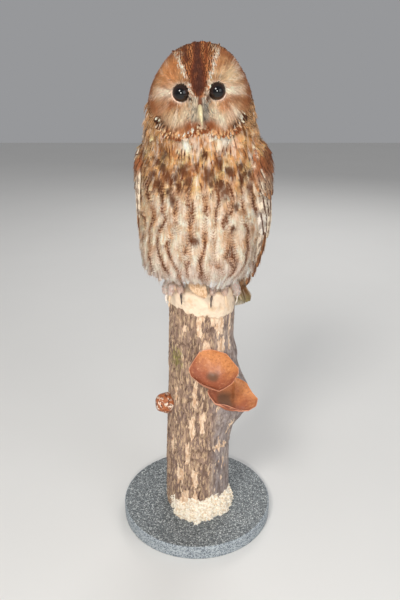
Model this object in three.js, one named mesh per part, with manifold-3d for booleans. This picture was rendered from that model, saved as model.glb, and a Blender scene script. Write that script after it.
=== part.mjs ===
// A mounted tawny owl (Strix aluco) that stands on an upright branch, glued with wood chips
// to a round granite slab, with three dried fungi on the bark.
// Millimetres, +Z up. The origin is the centre of the slab's underside, and the bird faces -Y.
// "left" and "right" are the bird's own, so its left side is +X.
import * as THREE from "three";
import { mergeVertices } from "three/addons/utils/BufferGeometryUtils.js";
import Module from "manifold-3d";

const wasm = await Module();
wasm.setup();

// ---- driving dimensions -------------------------------------------------------------------
const GAP = 0.3; // clearance between neighbouring pieces
const RAD = Math.PI / 180;

const slab = { radius: 107.5, thickness: 20, bevel: 2.5 };
const post = { bottom: slab.thickness + GAP, top: 356, radius: 44, flare: 2, leanX: 6, footX: 0.5 };
const burl = { height: 194, reach: 31, angle: -12 * RAD, spread: 0.62, above: 33, below: 27 };

// Rings of the plumage from crown to vent. z is the ring's height, half its half width, front
// and back its reach along -Y and +Y, x its middle and turn its yaw in degrees.
const plumage = [
  { at: "crown", z: 647.5, half: 0, front: -6, back: -6, x: 6.5, turn: 0 },
  { at: "cap", z: 643, half: 20, front: 17, back: 22, x: 6.5, turn: 0 },
  { at: "forehead", z: 629, half: 39.5, front: 38, back: 39, x: 5.5, turn: 1 },
  { at: "eyes", z: 600, half: 56.5, front: 51, back: 50, x: 5, turn: 2 },
  { at: "cheek", z: 570, half: 62.5, front: 54, back: 53, x: 5.5, turn: 4 },
  { at: "ruff", z: 545, half: 67, front: 55, back: 56, x: 5.5, turn: 7 },
  { at: "collar", z: 522, half: 70, front: 56, back: 61, x: 6, turn: 11 },
  { at: "breast", z: 492, half: 73, front: 61, back: 68, x: 6.5, turn: 14 },
  { at: "belly", z: 455, half: 75, front: 65, back: 70, x: 5.5, turn: 14 },
  { at: "flank", z: 420, half: 74.5, front: 66, back: 66, x: 4, turn: 14 },
  { at: "thigh", z: 393, half: 69.5, front: 61, back: 54, x: 2.5, turn: 14 },
  { at: "skirt", z: 377, half: 56, front: 47, back: 36, x: 2, turn: 14 },
  { at: "vent", z: 373, half: 0, front: 4, back: -4, x: 6, turn: 14 },
];
const boxiness = 2.25; // exponent of a ring's outline, where 2 is an ellipse
const neckCut = { chin: 549, nape: 560 }; // heights of the cut under the head, front and back
const trunkCut = { chest: 522, nape: 534 };

const face = { x: 3.4, tilt: 3 * RAD }; // the middle of the face, and its roll
const eye = { apart: 38.8, z: 596.6, y: -42.5, radius: 9.4 };
const dish = { radius: 52, depth: 6.5, out: 9, drop: 5 }; // the hollow round each eye
const bill = { top: 583, tip: 562.5, halfWidth: 3.9, front: -65.5 };

// A folded wing is a bent plate on a guide surface round the trunk. start and end are the
// angles of its leading and hind edges away from the spine, and plate is its half thickness.
const spine = 76 * RAD;
const wing = [
  { at: "shoulder", z: 543, x: 8, rx: 68, ry: 60, start: 96, end: 40, plate: 0 },
  { at: "wrist", z: 521, x: 8, rx: 75.5, ry: 65, start: 116, end: 20, plate: 6.5 },
  { at: "coverts", z: 468, x: 8, rx: 77, ry: 70, start: 108, end: 12, plate: 6.5 },
  { at: "secondaries", z: 415, x: 8, rx: 73, ry: 70, start: 88, end: 9, plate: 6 },
  { at: "primaries", z: 372, x: 11, rx: 66, ry: 67, start: 60, end: 10, plate: 4.5 },
  { at: "tip", z: 330, x: 16, rx: 65, ry: 66, start: 42, end: 24, plate: 0 },
];
const wingMiddleY = 2;

const tail = { rootX: 20, tipX: 47, rootZ: 412, tipZ: 299, y: 66, half: 33, plate: 5 };

const leg = { radius: 13, top: 396, bottom: 363 };
const toe = { radius: 5.6, tipRadius: 4.2 };
const claw = { radius: 2.7, tipRadius: 0.9 };
// Each foot has its ankle and four toes. A toe runs from the ankle over its knuckle to its end,
// and its claw then points to the last place.
const feet = {
  right: {
    ankle: [-22, -12, 367.5],
    toes: [
      { knuckle: [-35, -14, 366], end: [-40, -15, 356], claw: [-39, -16, 341] },
      { knuckle: [-30, -32, 366], end: [-32.5, -41, 357], claw: [-34, -44, 342] },
      { knuckle: [-20, -36, 366], end: [-19, -45, 358], claw: [-18, -49, 343] },
      { knuckle: [-25, 4, 366], end: [-27, 16, 364.5], claw: [-28, 25, 357] },
    ],
  },
  left: {
    ankle: [34, -10, 367.5],
    toes: [
      { knuckle: [49, -12, 366], end: [54.5, -13, 356], claw: [52, -15, 341] },
      { knuckle: [34, -32, 366], end: [36, -42, 357], claw: [37, -45, 342] },
      { knuckle: [22, -34, 366], end: [19, -44, 358], claw: [18, -49, 343] },
      { knuckle: [36, 6, 366], end: [38, 18, 364.5], claw: [39, 27, 357] },
    ],
  },
};

// A cup fungus: the middle of its mouth, the way that the mouth faces, its half width, half
// length and depth, and where its stalk enters the bark.
const cups = {
  fungus_upper: {
    mouth: [21.5, -67, 267],
    faces: [-0.08, -0.66, 0.75],
    halfWidth: 30.5,
    halfLength: 28,
    depth: 15,
    stalk: [19, -34, 252],
    seed: 1,
  },
  fungus_lower: {
    mouth: [48, -62, 229],
    faces: [0.22, -0.42, 0.88],
    halfWidth: 33,
    halfLength: 26,
    depth: 13,
    stalk: [38, -28, 206],
    seed: 4,
  },
};
const stalkRadius = 9;
const cupWall = 3.2;
const button = { middle: [-43.5, -17, 190.5], radius: 13.5 }; // the small fungus
const capChips = { top: 361.5, bottom: 334, thick: 3 };
const footChips = { climb: 34, front: 20, left: 7, right: 2, back: 9 };

// ---- tools --------------------------------------------------------------------------------
const material = (color, roughness) =>
  new THREE.MeshStandardMaterial({ color, roughness, metalness: 0 });
const finish = {
  face: material(0xc79a6b, 0.9),
  breast: material(0xcbb092, 0.95),
  back: material(0x8a5a34, 0.9),
  down: material(0xd9cbb6, 0.95),
  horn: material(0xd8cfa2, 0.45),
  clawHorn: material(0xb9b2a4, 0.4),
  glassEye: material(0x0a0706, 0.05),
  bark: material(0x7a6654, 0.9),
  chips: material(0xe3cfa0, 0.95),
  fungus: material(0xb4572a, 0.3),
  granite: material(0x6f767c, 0.5),
};

// A closed geometry as a solid. Its faces are turned outwards if they point in.
function solidOf(geometry) {
  const bare = new THREE.BufferGeometry();
  bare.setAttribute("position", geometry.getAttribute("position"));
  if (geometry.index) bare.setIndex(geometry.index);
  const merged = mergeVertices(bare, 1e-3);
  const corners = [];
  const index = merged.index.array;
  for (let i = 0; i < index.length; i += 3) {
    const [a, b, c] = [index[i], index[i + 1], index[i + 2]];
    if (a !== b && b !== c && a !== c) corners.push(a, b, c);
  }
  const vertProperties = new Float32Array(merged.attributes.position.array);
  const make = (list) =>
    new wasm.Manifold(new wasm.Mesh({ numProp: 3, vertProperties, triVerts: new Uint32Array(list) }));
  const solid = make(corners);
  return solid.volume() > 0 ? solid : make(corners.reverse());
}

// A named mesh of a solid. Only its largest body is kept, as a cut can leave slivers.
function meshOf(name, solid, look) {
  const whole = solid.decompose().reduce((a, b) => (a.volume() > b.volume() ? a : b));
  const { numProp, vertProperties, triVerts, numVert } = whole.getMesh();
  const places = new Float32Array(numVert * 3);
  for (let i = 0; i < numVert; i++) {
    places.set(vertProperties.subarray(i * numProp, i * numProp + 3), i * 3);
  }
  const geometry = new THREE.BufferGeometry();
  geometry.setAttribute("position", new THREE.BufferAttribute(places, 3));
  geometry.setIndex(new THREE.BufferAttribute(triVerts, 1));
  geometry.computeVertexNormals();
  const mesh = new THREE.Mesh(geometry, look);
  mesh.name = name;
  return mesh;
}

// A ball with each point moved to place(u, v): u is its angle and v runs from pole to pole.
function form(around, along, place) {
  const ball = new THREE.SphereGeometry(1, around, along);
  const at = ball.getAttribute("position");
  const point = new THREE.Vector3();
  for (let i = 0; i < at.count; i++) {
    point.fromBufferAttribute(at, i);
    const u = Math.atan2(point.z, point.x);
    const v = Math.acos(THREE.MathUtils.clamp(point.y, -1, 1)) / Math.PI;
    at.setXYZ(i, ...place(u, v, point).toArray());
  }
  return ball;
}

// The same form, moved out along its normals.
function grown(geometry, by = GAP) {
  const bare = new THREE.BufferGeometry();
  bare.setAttribute("position", geometry.getAttribute("position"));
  if (geometry.index) bare.setIndex(geometry.index);
  const merged = mergeVertices(bare, 1e-3);
  merged.computeVertexNormals();
  const [at, normal] = [merged.attributes.position, merged.attributes.normal];
  const sign = Math.sign(signedVolume(merged));
  for (let i = 0; i < at.count; i++) {
    at.setXYZ(
      i,
      at.getX(i) + sign * by * normal.getX(i),
      at.getY(i) + sign * by * normal.getY(i),
      at.getZ(i) + sign * by * normal.getZ(i),
    );
  }
  return solidOf(merged);
}

function signedVolume(geometry) {
  const [at, index] = [geometry.attributes.position, geometry.index.array];
  const [a, b, c] = [new THREE.Vector3(), new THREE.Vector3(), new THREE.Vector3()];
  let sum = 0;
  for (let i = 0; i < index.length; i += 3) {
    a.fromBufferAttribute(at, index[i]);
    b.fromBufferAttribute(at, index[i + 1]);
    c.fromBufferAttribute(at, index[i + 2]);
    sum += a.dot(b.cross(c));
  }
  return sum / 6;
}

// A smooth reading of rings at t from 0 to 1, as an object with the same keys.
function ringReader(rings, keys) {
  const places = new Float32Array(rings.map((_, i) => i / (rings.length - 1)));
  const values = new Float32Array(rings.flatMap((ring) => keys.map((key) => ring[key])));
  const spline = new THREE.CubicInterpolant(places, values, keys.length);
  return (t) => {
    const read = spline.evaluate(THREE.MathUtils.clamp(t, 0, 1));
    return Object.fromEntries(keys.map((key, i) => [key, read[i]]));
  };
}

const power = (value, exponent) => Math.sign(value) * Math.abs(value) ** exponent;
const bump = (x, width) => Math.exp(-((x / width) ** 2));
const between = THREE.MathUtils.lerp;
const turned = (angle) => Math.atan2(Math.sin(angle), Math.cos(angle));
// A soft waviness from a few sines, about -1 to 1.
const waviness = (angle, height, seed = 0) =>
  0.5 * Math.sin(3 * angle + seed + height / 23) +
  0.3 * Math.sin(7 * angle - 2 * seed + height / 11) +
  0.2 * Math.sin(13 * angle + 3 * seed - height / 17);

// A limb of oval section along a curve, with half sizes width(t) across and depth(t) the other
// way, where side is the direction across.
function limb(points, side, width, depth, around = 10, along = 8) {
  const curve = new THREE.CatmullRomCurve3(points.map((p) => new THREE.Vector3(...p)));
  return form(around, along, (u, v) => {
    const t = (1 - Math.cos(Math.PI * v)) / 2;
    const round = Math.sin(Math.PI * v);
    const tangent = curve.getTangent(t);
    const across = new THREE.Vector3(...side).projectOnPlane(tangent).normalize();
    const out = new THREE.Vector3().crossVectors(tangent, across);
    return curve
      .getPoint(t)
      .addScaledVector(across, width(t) * round * Math.cos(u))
      .addScaledVector(out, depth(t) * round * Math.sin(u));
  });
}

// ---- the plumage as one form, then parted ---------------------------------------------------
const readPlumage = ringReader(plumage, ["z", "half", "front", "back", "x", "turn"]);

function plumagePoint(u, v) {
  const ring = readPlumage(v);
  const half = Math.max(ring.half, 0) * power(Math.cos(u), 2 / boxiness);
  const reach = Math.sin(u) > 0 ? ring.back : ring.front;
  const middle = (ring.back - ring.front) / 2;
  const depth = (Math.sin(u) > 0 ? ring.back - middle : ring.front + middle) * power(Math.sin(u), 2 / boxiness);
  const turn = -ring.turn * RAD;
  const [x, y] = [half, Number.isFinite(reach) ? middle + depth : 0];
  return new THREE.Vector3(
    ring.x + x * Math.cos(turn) - y * Math.sin(turn),
    x * Math.sin(turn) + y * Math.cos(turn),
    ring.z,
  );
}

const plumageForm = form(26, 28, plumagePoint);
const plumageGrown = grown(plumageForm);

// A cut GAP wide across the body, from one height in front to another behind.
function cutAcross(frontZ, backZ) {
  const [frontY, backY] = [-55, 55];
  const cut = new THREE.BoxGeometry(260, 260, GAP);
  cut.rotateX(Math.atan2(backZ - frontZ, backY - frontY));
  cut.translate(0, 0, (frontZ + backZ) / 2);
  return solidOf(cut);
}

const eyeAt = (side) => [
  face.x + (side * eye.apart * Math.cos(face.tilt)) / 2,
  eye.y,
  eye.z + (side * eye.apart * Math.sin(face.tilt)) / 2,
];
const ball = (middle, radius, around = 12, along = 8) =>
  new THREE.SphereGeometry(radius, around, along).rotateX(Math.PI / 2).translate(...middle);

// The hollow of the facial disc round one eye.
function dishAt(side) {
  const [x, , z] = eyeAt(side);
  const faceFront = -51;
  const middle = [x + side * dish.out, faceFront + dish.depth - dish.radius, z - dish.drop];
  return solidOf(ball(middle, dish.radius, 18, 12));
}

const billMiddle = (bill.top + bill.tip) / 2;
const billUpperForm = limb(
  [
    [face.x - 0.4, -45, bill.top - 3],
    [face.x, -57, bill.top - 3],
    [face.x + 1, bill.front, billMiddle],
    [face.x + 2.6, bill.front + 4, bill.tip],
  ],
  [1, 0, 0],
  (t) => between(bill.halfWidth, 1.6, t),
  (t) => between(6.5, 2.2, t),
  12,
  10,
);
const billLowerForm = limb(
  [
    [face.x, -44, bill.top - 10],
    [face.x + 0.8, -54, bill.top - 12],
    [face.x + 1.8, bill.front + 6.5, bill.tip + 5],
  ],
  [1, 0, 0],
  (t) => between(3.4, 1.6, t),
  (t) => between(4, 1.6, t),
  10,
  7,
);

function partedPlumage() {
  let whole = solidOf(plumageForm);
  for (const side of [-1, 1]) {
    whole = whole.subtract(dishAt(side));
    whole = whole.subtract(solidOf(ball(eyeAt(side), eye.radius + GAP)));
  }
  whole = whole.subtract(grown(billUpperForm)).subtract(grown(billLowerForm));
  whole = whole.subtract(cutAcross(neckCut.chin, neckCut.nape));
  whole = whole.subtract(cutAcross(trunkCut.chest, trunkCut.nape));
  const height = (part) => part.boundingBox().max[2];
  return whole
    .decompose()
    .filter((part) => part.volume() > 1000)
    .sort((a, b) => height(b) - height(a));
}

// ---- wings and tail -------------------------------------------------------------------------
const readWing = ringReader(wing, ["z", "x", "rx", "ry", "start", "end", "plate"]);

// side is 1 for the bird's left wing and -1 for its right.
function wingForm(side) {
  return form(14, 16, (u, v, point) => {
    const ring = readWing(v);
    const round = Math.sin(Math.PI * v);
    const across = round > 0 ? point.x / round : 0;
    const out = round > 0 ? point.z / round : 0;
    const reach = ((ring.start + ring.end) / 2 + (across * (ring.start - ring.end)) / 2) * RAD;
    const angle = spine - side * reach;
    const lift = power(out, 0.7) * Math.max(ring.plate, 0);
    return new THREE.Vector3(
      ring.x + (ring.rx + lift) * Math.cos(angle),
      wingMiddleY + (ring.ry + lift) * Math.sin(angle),
      ring.z,
    );
  });
}

const tailForm = form(14, 10, (u, v, point) => {
  const round = Math.sin(Math.PI * v);
  const across = round > 0 ? point.x / round : 0;
  const out = round > 0 ? point.z / round : 0;
  const t = (1 - Math.cos(Math.PI * v)) / 2;
  const fan = between(0.72, 1, t) * round ** 0.3;
  const x = across * tail.half * fan;
  return new THREE.Vector3(
    between(tail.rootX, tail.tipX, t) + x * 0.98,
    tail.y - x * 0.16 - (x * x) / 260 + out * tail.plate * (1 - 0.35 * t) * round ** 0.5,
    between(tail.rootZ, tail.tipZ, t) + (1 - across ** 2) * -6 * t,
  );
});

// ---- legs, toes and claws -------------------------------------------------------------------
function legForm({ ankle: [x, y] }) {
  return limb(
    [
      [x * 0.9 + 0.6, y + 6, leg.top],
      [x, y, leg.bottom],
    ],
    [1, 0, 0],
    () => leg.radius,
    () => leg.radius,
    12,
    7,
  );
}

const toeForm = (ankle, { knuckle, end }) =>
  limb(
    [ankle, knuckle, end],
    [0.3, 0.2, 1],
    (t) => between(toe.radius, toe.tipRadius, t),
    (t) => between(toe.radius, toe.tipRadius, t),
    8,
    6,
  );

function clawForm({ knuckle, end, claw: point }) {
  const start = new THREE.Vector3(...knuckle).lerp(new THREE.Vector3(...end), 0.86);
  const bulge = new THREE.Vector3(...end)
    .lerp(new THREE.Vector3(...point), 0.45)
    .add(new THREE.Vector3(...end).sub(new THREE.Vector3(...knuckle)).setZ(0).setLength(1.8));
  return limb(
    [start.toArray(), bulge.toArray(), point],
    [0.3, 0.2, 1],
    (t) => between(claw.radius, claw.tipRadius, t),
    (t) => between(claw.radius, claw.tipRadius, t),
    7,
    5,
  );
}

// ---- branch, fungi, wood chips and slab -------------------------------------------------------
const postX = (z) => between(post.footX, post.footX + post.leanX, (z - post.bottom) / (post.top - post.bottom));

function postRadius(angle, z) {
  const beside = turned(angle - burl.angle) / burl.spread;
  const spread = z > burl.height ? burl.above : burl.below;
  const fork = burl.reach * bump(beside, 1) * bump(z - burl.height, spread * 1.25);
  const flare = post.flare * bump(z - post.bottom, 90);
  return post.radius + flare + 0.9 * waviness(angle, z) + fork;
}

function postForm(around = 22, along = 13) {
  const column = new THREE.CylinderGeometry(1, 1, 1, around, along).rotateX(Math.PI / 2);
  const at = column.getAttribute("position");
  for (let i = 0; i < at.count; i++) {
    const [x, y, h] = [at.getX(i), at.getY(i), at.getZ(i)];
    const z = between(post.bottom, post.top, h + 0.5);
    const angle = Math.atan2(y, x);
    const r = Math.hypot(x, y) * postRadius(angle, z);
    at.setXYZ(i, postX(z) + r * Math.cos(angle), r * Math.sin(angle), z);
  }
  return column;
}

// A cup fungus is a bowl of even wall whose outline has a few soft corners.
function cupForm({ mouth, faces, halfWidth, halfLength, depth, seed }) {
  const up = new THREE.Vector3(...faces).normalize();
  const across = new THREE.Vector3(1, 0, 0).projectOnPlane(up).normalize();
  const along = new THREE.Vector3().crossVectors(up, across);
  return form(18, 8, (u, v) => {
    const q = v < 0.5 ? 2 * v : 2 * (1 - v);
    const corners = 1 + 0.05 * Math.cos(5 * u + seed) + 0.03 * Math.cos(3 * u - seed);
    const r = corners * Math.sin((q * Math.PI) / 2);
    const floor = -depth * Math.cos((q * Math.PI) / 2) ** 1.4 + 1.6 * Math.cos(4 * u + seed) * q ** 3;
    const wall = v < 0.5 ? 0 : cupWall * (1 - 0.4 * q ** 4);
    return new THREE.Vector3(...mouth)
      .addScaledVector(across, r * halfWidth * Math.cos(u))
      .addScaledVector(along, r * halfLength * Math.sin(u))
      .addScaledVector(up, floor - wall);
  });
}

// Its stalk runs from under the bowl into the bark.
function stalkForm({ mouth, faces, depth, stalk }, radius = stalkRadius) {
  const under = new THREE.Vector3(...faces).setLength(-depth - cupWall / 2).add(new THREE.Vector3(...mouth));
  return limb([under.toArray(), stalk], [1, 0, 0], () => radius, () => radius, 8, 5);
}

const buttonForm = form(12, 8, (u, v, point) => {
  const lobes = 1 + 0.05 * Math.cos(5 * u) * Math.sin(Math.PI * v);
  return new THREE.Vector3(...button.middle).add(
    new THREE.Vector3(point.x * lobes, point.z * lobes, point.y * 0.92).multiplyScalar(button.radius),
  );
});

// Chips and glue over the top of the branch, with an uneven lower edge.
function capForm() {
  return form(18, 8, (u, v) => {
    const edge = capChips.bottom + (v < 1 ? 6 * waviness(u, 0, 2) : 0);
    const t = Math.min(v / 0.62, 1);
    const z = v < 0.62 ? capChips.top - 9 * t ** 3 : between(capChips.top - 9, edge, (v - 0.62) / 0.38);
    const wall = v < 0.62 ? 1 : between(1, 0.3, (v - 0.62) / 0.38);
    const size = v < 1 ? postRadius(u, Math.min(z, post.top)) + capChips.thick * wall : 0;
    const r = size * Math.sin((t * Math.PI) / 2);
    return new THREE.Vector3(postX(z) + r * Math.cos(u), r * Math.sin(u), z);
  });
}

// The mound of chips round the foot of the branch is thickest in front.
function moundForm() {
  const low = slab.thickness + GAP;
  return form(20, 8, (u, v) => {
    const ahead = Math.max(-Math.sin(u), 0);
    const behind = Math.max(Math.sin(u), 0);
    const beside = between(footChips.right, footChips.left, 0.5 + 0.5 * Math.cos(u));
    const thick = beside + footChips.front * ahead ** 2 + footChips.back * behind ** 2;
    const uneven = v > 0 ? 0.2 * ahead + 0.12 * waviness(u, 0, 5) : 0;
    const top = low + footChips.climb * (0.72 + uneven);
    const spread = thick * (1 + 0.16 * waviness(u, 0, 9));
    const wide = postRadius(u, low) + spread;
    const t = THREE.MathUtils.clamp((v - 0.2) / 0.55, 0, 1);
    const r = v < 0.2 ? (wide - spread * 0.93) * (v / 0.2) : wide - spread * 0.93 * (1 - t) ** 1.6;
    const z = v < 0.2 ? top : between(top, low, t);
    const shrink = v > 0.75 ? (1 - v) / 0.25 : 1;
    return new THREE.Vector3(postX(z) + r * shrink * Math.cos(u), r * shrink * Math.sin(u), z);
  });
}

function slabForm() {
  const { radius: r, thickness: t, bevel: b } = slab;
  const profile = [
    [0, 0],
    [r, 0],
    [r, t - b],
    [r - b * 0.3, t - b * 0.3],
    [r - b, t],
    [0, t],
  ].map(([x, y]) => new THREE.Vector2(x, y));
  return new THREE.LatheGeometry(profile, 44).rotateX(Math.PI / 2);
}

// ---- assembly ---------------------------------------------------------------------------------
const owl = new THREE.Group();
const add = (name, solid, look) => owl.add(meshOf(name, solid, look));

add("granite_base", solidOf(slabForm()), finish.granite);

const [head, neck, trunk] = partedPlumage();
add("head", head, finish.face);
add("neck", neck, finish.breast);
add("trunk", trunk, finish.breast);
add("bill_upper", solidOf(billUpperForm), finish.horn);
add("bill_lower", solidOf(billLowerForm).subtract(grown(billUpperForm)), finish.horn);

const wings = { left: wingForm(1), right: wingForm(-1) };
for (const [name, side] of [
  ["left", 1],
  ["right", -1],
]) {
  add(`eye_${name}`, solidOf(ball(eyeAt(side), eye.radius)), finish.glassEye);
  add(`wing_${name}`, solidOf(wings[name]).subtract(plumageGrown), finish.back);
}
add(
  "tail",
  solidOf(tailForm).subtract(plumageGrown).subtract(grown(wings.left)).subtract(grown(wings.right)),
  finish.back,
);

// What rests on the branch cuts its bed out of the chips, and the claws out of the bark.
const bedded = [];
for (const [side, foot] of Object.entries(feet)) {
  const legSolid = solidOf(legForm(foot)).subtract(plumageGrown);
  add(`leg_${side}`, legSolid, finish.down);
  const legRoom = grown(legForm(foot));
  bedded.push(legRoom);
  const claws = foot.toes.map(clawForm);
  let toes = null;
  for (const spec of foot.toes) {
    const one = solidOf(toeForm(foot.ankle, spec));
    toes = toes ? toes.add(one) : one;
    bedded.push(grown(toeForm(foot.ankle, spec)));
  }
  toes = toes.subtract(legRoom).subtract(plumageGrown);
  claws.forEach((form, i) => {
    toes = toes.subtract(grown(form));
    bedded.push(grown(form));
    add(`claw_${side}_${i + 1}`, solidOf(form).subtract(plumageGrown), finish.clawHorn);
  });
  add(`foot_${side}`, toes, finish.down);
}

const grownPost = grown(postForm());
const cut = (solid, rooms) => rooms.reduce((left, room) => left.subtract(room), solid);
add("branch", cut(solidOf(postForm()), bedded), finish.bark);
add("chips_top", cut(solidOf(capForm()).subtract(grownPost).subtract(plumageGrown), bedded), finish.chips);
add("chips_foot", solidOf(moundForm()).subtract(grownPost), finish.chips);
const [upper, lower] = [cups.fungus_upper, cups.fungus_lower];
const upperCup = solidOf(cupForm(upper)).add(solidOf(stalkForm(upper)));
add("fungus_upper", upperCup.subtract(grownPost), finish.fungus);
const upperRoom = [grown(cupForm(upper)), grown(stalkForm(upper))];
const lowerCup = solidOf(cupForm(lower)).add(solidOf(stalkForm(lower)));
add("fungus_lower", cut(lowerCup.subtract(grownPost), upperRoom), finish.fungus);
add("fungus_small", solidOf(buttonForm).subtract(grownPost), finish.fungus);

export default owl;
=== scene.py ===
"""A mounted tawny owl on an upright branch with three fungi, glued with wood chips to a round
granite slab. Metres, +Z up; the bird faces -Y and its left side is towards +X."""
import math
import bmesh
import bpy
import numpy as np
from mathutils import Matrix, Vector
from mathutils.bvhtree import BVHTree


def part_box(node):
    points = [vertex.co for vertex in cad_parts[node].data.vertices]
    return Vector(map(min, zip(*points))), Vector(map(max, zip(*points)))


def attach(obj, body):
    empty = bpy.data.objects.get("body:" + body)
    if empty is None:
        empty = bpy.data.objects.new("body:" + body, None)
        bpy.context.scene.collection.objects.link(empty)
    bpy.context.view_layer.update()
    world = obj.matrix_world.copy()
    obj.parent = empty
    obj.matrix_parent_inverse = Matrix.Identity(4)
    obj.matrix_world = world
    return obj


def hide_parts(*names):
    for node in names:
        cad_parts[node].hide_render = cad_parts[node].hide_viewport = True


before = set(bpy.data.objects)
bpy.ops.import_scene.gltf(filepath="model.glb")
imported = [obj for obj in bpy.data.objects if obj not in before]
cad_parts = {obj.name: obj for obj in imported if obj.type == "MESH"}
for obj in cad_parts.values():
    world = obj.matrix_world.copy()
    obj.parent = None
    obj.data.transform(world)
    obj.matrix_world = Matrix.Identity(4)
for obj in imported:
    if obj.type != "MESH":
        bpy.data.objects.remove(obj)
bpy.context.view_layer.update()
MM = 0.001
rng = np.random.default_rng(7)


# ---- measures taken from the frame ------------------------------------------------------------------
def middle(node):
    low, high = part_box(node)
    return np.array((low + high) / 2)


EYES = {-1: middle("eye_right"), 1: middle("eye_left")}
EYE_SWELL = 1.06  # the glass eyes are this much larger than the CAD's
EYE_RADIUS = (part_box("eye_left")[1].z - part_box("eye_left")[0].z) / 2 * EYE_SWELL
EYE_LINE = EYES[1] - EYES[-1]
FACE_MIDDLE = (EYES[1] + EYES[-1]) / 2
FACE_ROLL = math.atan2(EYE_LINE[2], EYE_LINE[0])
EYE_OUT = float(np.hypot(EYE_LINE[0], EYE_LINE[2])) / MM / 2  # mm from the face's middle to each eye
SLAB_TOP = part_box("granite_base")[1].z
SLAB_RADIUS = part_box("granite_base")[1].x
PERCH_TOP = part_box("branch")[1].z
BODY_AXIS = np.array([8 * MM, 2 * MM])  # where the middle of the trunk stands
BODY_TURN = math.radians(-14)  # yaw of the breast from straight ahead
BLOTCHES = (  # dark patches across the breast: millimetres along X and up, and size
    (-14, 513, 8), (-8, 504, 5.5), (14, 509, 8), (17, 502, 5.5), (-1, 517, 4.5), (25, 524, 5.5),
    (27, 517, 4.5), (-32, 506, 6), (-24, 507, 4.5), (-43, 523, 5.5), (-38, 515, 5), (33, 489, 6),
    (28, 499, 6.5), (53, 503, 5.5), (50, 517, 5.5), (61, 509, 5), (37, 513, 6), (-36, 528, 5),
    (-27, 481, 5.5), (-31, 488, 5), (-20, 496, 4.5), (43, 447, 4.5), (-1, 434, 5), (46, 474, 4),
    (-50, 505, 5), (-44, 494, 5), (62, 494, 5), (8, 531, 4))
STREAKS_PER_RADIAN = 4.2  # how close the belly's streaks stand round the body
SPINE = math.radians(76)  # the way to the spine from the body's axis, from +X
BURL_TURN = math.radians(-12)  # the way that the branch's stump points, from +X
MOSS = np.array([-30, -30, 262]) * MM  # the middle of the moss on the branch


# ---- camera and light -------------------------------------------------------------------------------
LIGHTS = {  # where each stands, where it points, its size, power and colour
    "key": ((-0.7, -1.6, 1.9), (0, 0, 0.45), 0.6, 26, (1, 0.97, 0.93)),
    "fill": ((1.4, -1.3, 1.0), (0, 0, 0.4), 1.2, 9, (0.95, 0.97, 1)),
    "back": ((0.5, 1.7, 1.6), (0, 0, 0.45), 1.2, 14, (1, 1, 1)),
    "catch": ((0.0, -1.2, 0.72), (0, -0.05, 0.5), 0.16, 5.6, (1, 0.98, 0.94))}


def placed(name, data):
    """A new object in the scene."""
    made = bpy.data.objects.new(name, data)
    bpy.context.scene.collection.objects.link(made)
    return made


def place_camera():
    data = bpy.data.cameras.new("camera")
    data.lens = 37.2
    data.sensor_width = 36.0
    camera = placed("camera", data)
    camera.location = (0.0045, -0.755, 0.638)
    camera.rotation_euler = (math.radians(90 - 21.87), 0, 0)
    bpy.context.scene.camera = camera


def light_the_room():
    for name, (at, aim, size, power, color) in LIGHTS.items():
        data = bpy.data.lights.new(name, "AREA")
        data.size = size
        data.energy = power
        data.color = color
        light = placed(name, data)
        light.location = at
        light.rotation_euler = (Vector(aim) - Vector(at)).to_track_quat("-Z", "Y").to_euler()
    world = bpy.data.worlds.new("room")
    world.use_nodes = True
    air = world.node_tree.nodes["Background"].inputs
    air["Color"].default_value = (0.86, 0.87, 0.9, 1)
    air["Strength"].default_value = 0.36
    bpy.context.scene.world = world
    bpy.context.scene.view_settings.view_transform = "Standard"


# ---- colours and shader tools -----------------------------------------------------------------------
def srgb(*levels):
    """A colour given as 0 to 255 screen levels, as linear numbers."""
    c = np.array(levels) / 255
    return np.where(c <= 0.04045, c / 12.92, ((c + 0.055) / 1.055) ** 2.4)


class Field:
    """What a shader socket gives. Sums and products of fields add the nodes that work them out."""

    def __init__(self, tree, socket):
        self.tree = tree
        self.socket = socket

    def maths(self, operation, *others):
        made = node(self.tree, "Math", dict(enumerate((self, *others))), operation=operation)
        return Field(self.tree, made.outputs[0])

    def __add__(self, other):
        return self.maths("ADD", other)

    def __sub__(self, other):
        return self.maths("SUBTRACT", other)

    def __mul__(self, other):
        return self.maths("MULTIPLY", other)

    def __abs__(self):
        return self.maths("ABSOLUTE")

    def sine(self):
        """The sine of so many whole turns."""
        return (self * math.tau).maths("SINE")

    def ramp(self, low, high, out_low=0.0, out_high=1.0):
        """The field eased from one range to another."""
        ends = {"Value": self, "From Min": low, "From Max": high, "To Min": out_low, "To Max": out_high}
        made = node(self.tree, "MapRange", ends, interpolation_type="SMOOTHSTEP")
        return Field(self.tree, made.outputs["Result"])

    def mix(self, under, over, blend="MIX"):
        """The colour under where the field is 0 and over where it is 1."""
        under, over = (c if isinstance(c, Field) else (*srgb(*c), 1.0) for c in (under, over))
        made = node(self.tree, "Mix", {}, data_type="RGBA", blend_type=blend)
        wire(self.tree, made, {0: self, 6: under, 7: over})
        return Field(self.tree, made.outputs[2])

    def vector(self, operation, inputs, output=0):
        made = node(self.tree, "VectorMath", {0: self, **inputs}, operation=operation)
        return Field(self.tree, made.outputs[output])

    def noise(self, scale, detail=4.0, rough=0.55, warp=0.0, output="Fac"):
        inputs = {"Vector": self, "Scale": scale, "Detail": detail, "Roughness": rough, "Distortion": warp}
        return Field(self.tree, node(self.tree, "TexNoise", inputs).outputs[output])

    def stretched(self, *scale):
        """A place as many times larger along each axis."""
        return Field(self.tree, node(self.tree, "Mapping", {"Vector": self, "Scale": scale}).outputs[0])

    def split(self, kind):
        source = {"XYZ": "Vector", "Color": "Color"}[kind]
        made = node(self.tree, "Separate" + kind, {source: self})
        return [Field(self.tree, made.outputs[k]) for k in range(3)]


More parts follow.
